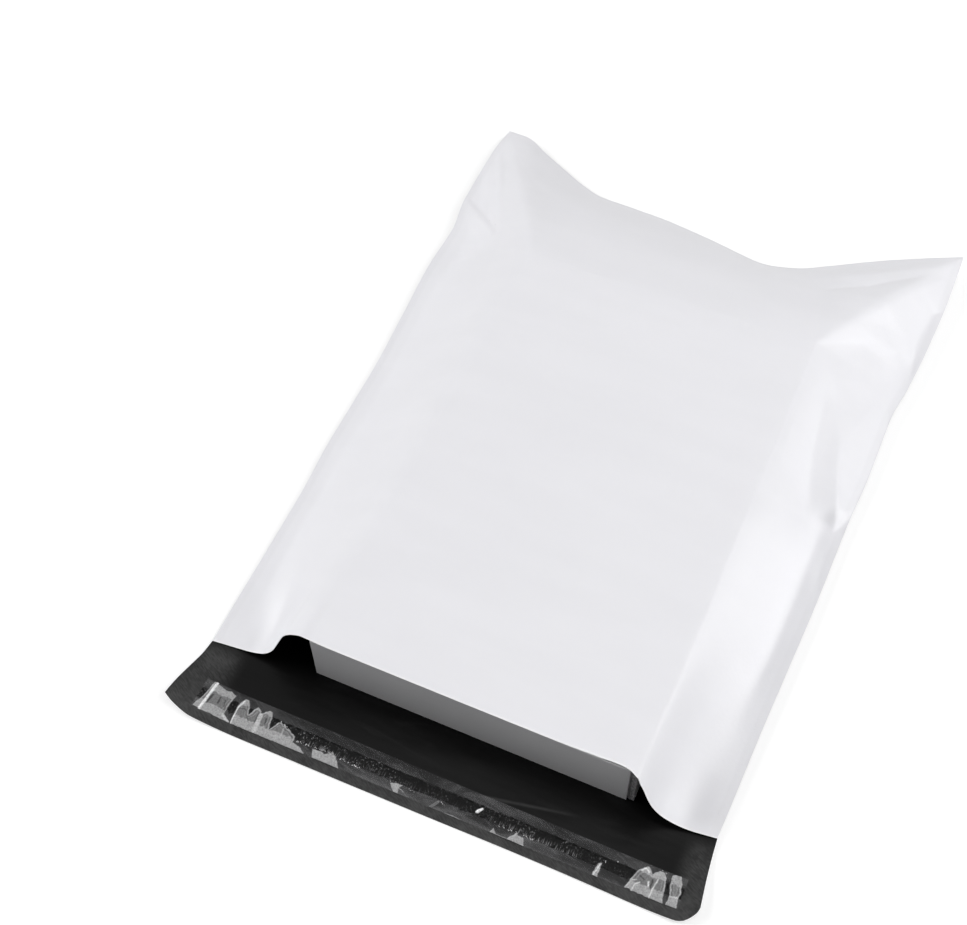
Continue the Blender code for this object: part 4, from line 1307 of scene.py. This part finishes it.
# %% [markdown]
# ## Floor, world and lamps
# The photograph's background is pure white with hardly a shadow. The floor is white to the
# camera and to reflections, and a dimmer white for the light it throws back, so that the
# carton's front stays in the mouth's shade. Large soft lamps stand at both sides, as in a
# product tent, with a weaker one overhead: they make the side slopes as bright as the top, and
# leave the slope to the closed end and the carton's front in shade. A nearer lamp, low on the
# right, brings out the facets on that slope.

# %% Floor
def seen_rays(tree):
    """1 for rays that show a thing, straight, mirrored or through film; 0 for thrown light."""
    rays = tree.add("ShaderNodeLightPath", output="Is Camera Ray")
    return rays.most(rays.other("Is Glossy Ray")).most(rays.other("Is Transmission Ray"))


def studio_floor():
    look = Finish("studio_floor")
    seen = seen_rays(look)
    haze = look.noise(look.place(), 3, 2, 0.5)
    pale = look.blend(haze, grey(0.54), grey(0.56))
    colour = look.blend(seen, grey(0.32), pale)
    matt = look.add("ShaderNodeBsdfDiffuse", None, {"Color": colour})
    lift = look.add("ShaderNodeEmission", None, {"Color": grey(1), "Strength": seen * 0.58})
    both = look.add("ShaderNodeAddShader", None, {0: matt, 1: lift})
    look.add("ShaderNodeOutputMaterial", None, {"Surface": both})
    return look.material


def flat_square(name, half, z, look):
    mesh = bpy.data.meshes.new(name)
    mesh.from_pydata([(-half, -half, z), (half, -half, z), (half, half, z), (-half, half, z)],
                     [], [(0, 1, 2, 3)])
    mesh.materials.append(look)
    return add_object(name, mesh)


floor = flat_square("studio_floor", 6.0, -0.0004, studio_floor())

# %% World
SKY_TOP, SKY_LOW, SKY_FRONT = 0.012, 0.012, 0.3


def soft_sky():
    world = bpy.data.worlds.new("soft_sky")
    world.use_nodes = True
    sky = Tree(world.node_tree)
    way = sky.add("ShaderNodeTexCoord", output="Generated")
    parts = sky.add("ShaderNodeSeparateXYZ", None, {0: way})
    up = parts.other("Z").most(0.0)
    front = (parts.other("Y") * -1.0).between(-0.2, 0.9)
    glow = (SKY_LOW + SKY_TOP * up * up) * (1.0 - SKY_FRONT * front)
    seen = seen_rays(sky)
    strength = glow + (1.0 - glow) * seen
    light = sky.add("ShaderNodeBackground", None, {"Color": grey(1), "Strength": strength})
    sky.add("ShaderNodeOutputWorld", None, {"Surface": light})
    bpy.context.scene.world = world


soft_sky()
bpy.context.scene.view_settings.view_transform = "Standard"

# %% Lamps
MIDDLE, RIGHT_FACETS = Vector((0.0, 0.0, 0.02)), Vector((0.13, 0.12, 0.02))
# Distances in metres, and a lamp's side as a share of its distance
LAMP_AWAY, NEAR_LAMP_AWAY, LAMP_SIZE = 2.4, 0.75, 0.54


def soft_lamp(name, azimuth, elevation, power, aim=MIDDLE, away=LAMP_AWAY):
    """Square area lamp, at an azimuth from +X and an elevation, turned towards a point."""
    turn, lift = math.radians(azimuth), math.radians(elevation)
    place = aim + away * Vector((math.cos(turn) * math.cos(lift), math.sin(turn) * math.cos(lift),
                                 math.sin(lift)))
    lamp = bpy.data.lights.new(name, "AREA")
    lamp.shape, lamp.size, lamp.energy = "SQUARE", LAMP_SIZE * away, power
    add_object(name, lamp).matrix_world = Matrix.Translation(place) @ (
        (place - aim).to_track_quat("Z", "Y").to_matrix().to_4x4())


soft_lamp("soft_left", 190, 31, 42.5)
soft_lamp("soft_right", 345, 30, 11.0)
soft_lamp("low_right", 10, 16, 2.05, RIGHT_FACETS, NEAR_LAMP_AWAY)
soft_lamp("high_right", 20, 48, 22.5)
soft_lamp("soft_top", 90, 85, 9.8)
print("lamps:", [lamp.name for lamp in bpy.data.lights])

# %% [markdown]
# ## Camera
# The camera was solved from straight, square edges of a known length. Its place is given from
# the carton's low corner, so it follows the model's own frame.

# %% Camera
CAMERA_FROM_CARTON = Vector((0.2616, -0.3154, 0.7863))
FORWARD = Vector((-0.2422, 0.5190, -0.8198)).normalized()
ROLL = math.radians(-1.1638)
LENS = 53.573


def photo_camera():
    right = FORWARD.cross(Vector((0, 0, 1))).normalized()
    up = right.cross(FORWARD)
    rolled_right = right * math.cos(ROLL) + up * math.sin(ROLL)
    rolled_up = up * math.cos(ROLL) - right * math.sin(ROLL)
    turn = Matrix((rolled_right, rolled_up, -FORWARD)).transposed().to_4x4()
    camera = bpy.data.cameras.new("photo_camera")
    camera.lens, camera.sensor_width, camera.clip_start = LENS, 36.0, 0.05
    made = add_object("photo_camera", camera)
    place = Vector(tuple(carton_low * MM)) + CAMERA_FROM_CARTON
    made.matrix_world = Matrix.Translation(place) @ turn
    bpy.context.scene.camera = made
    return made


camera = photo_camera()
print("camera at", [round(v, 3) for v in camera.matrix_world.translation])
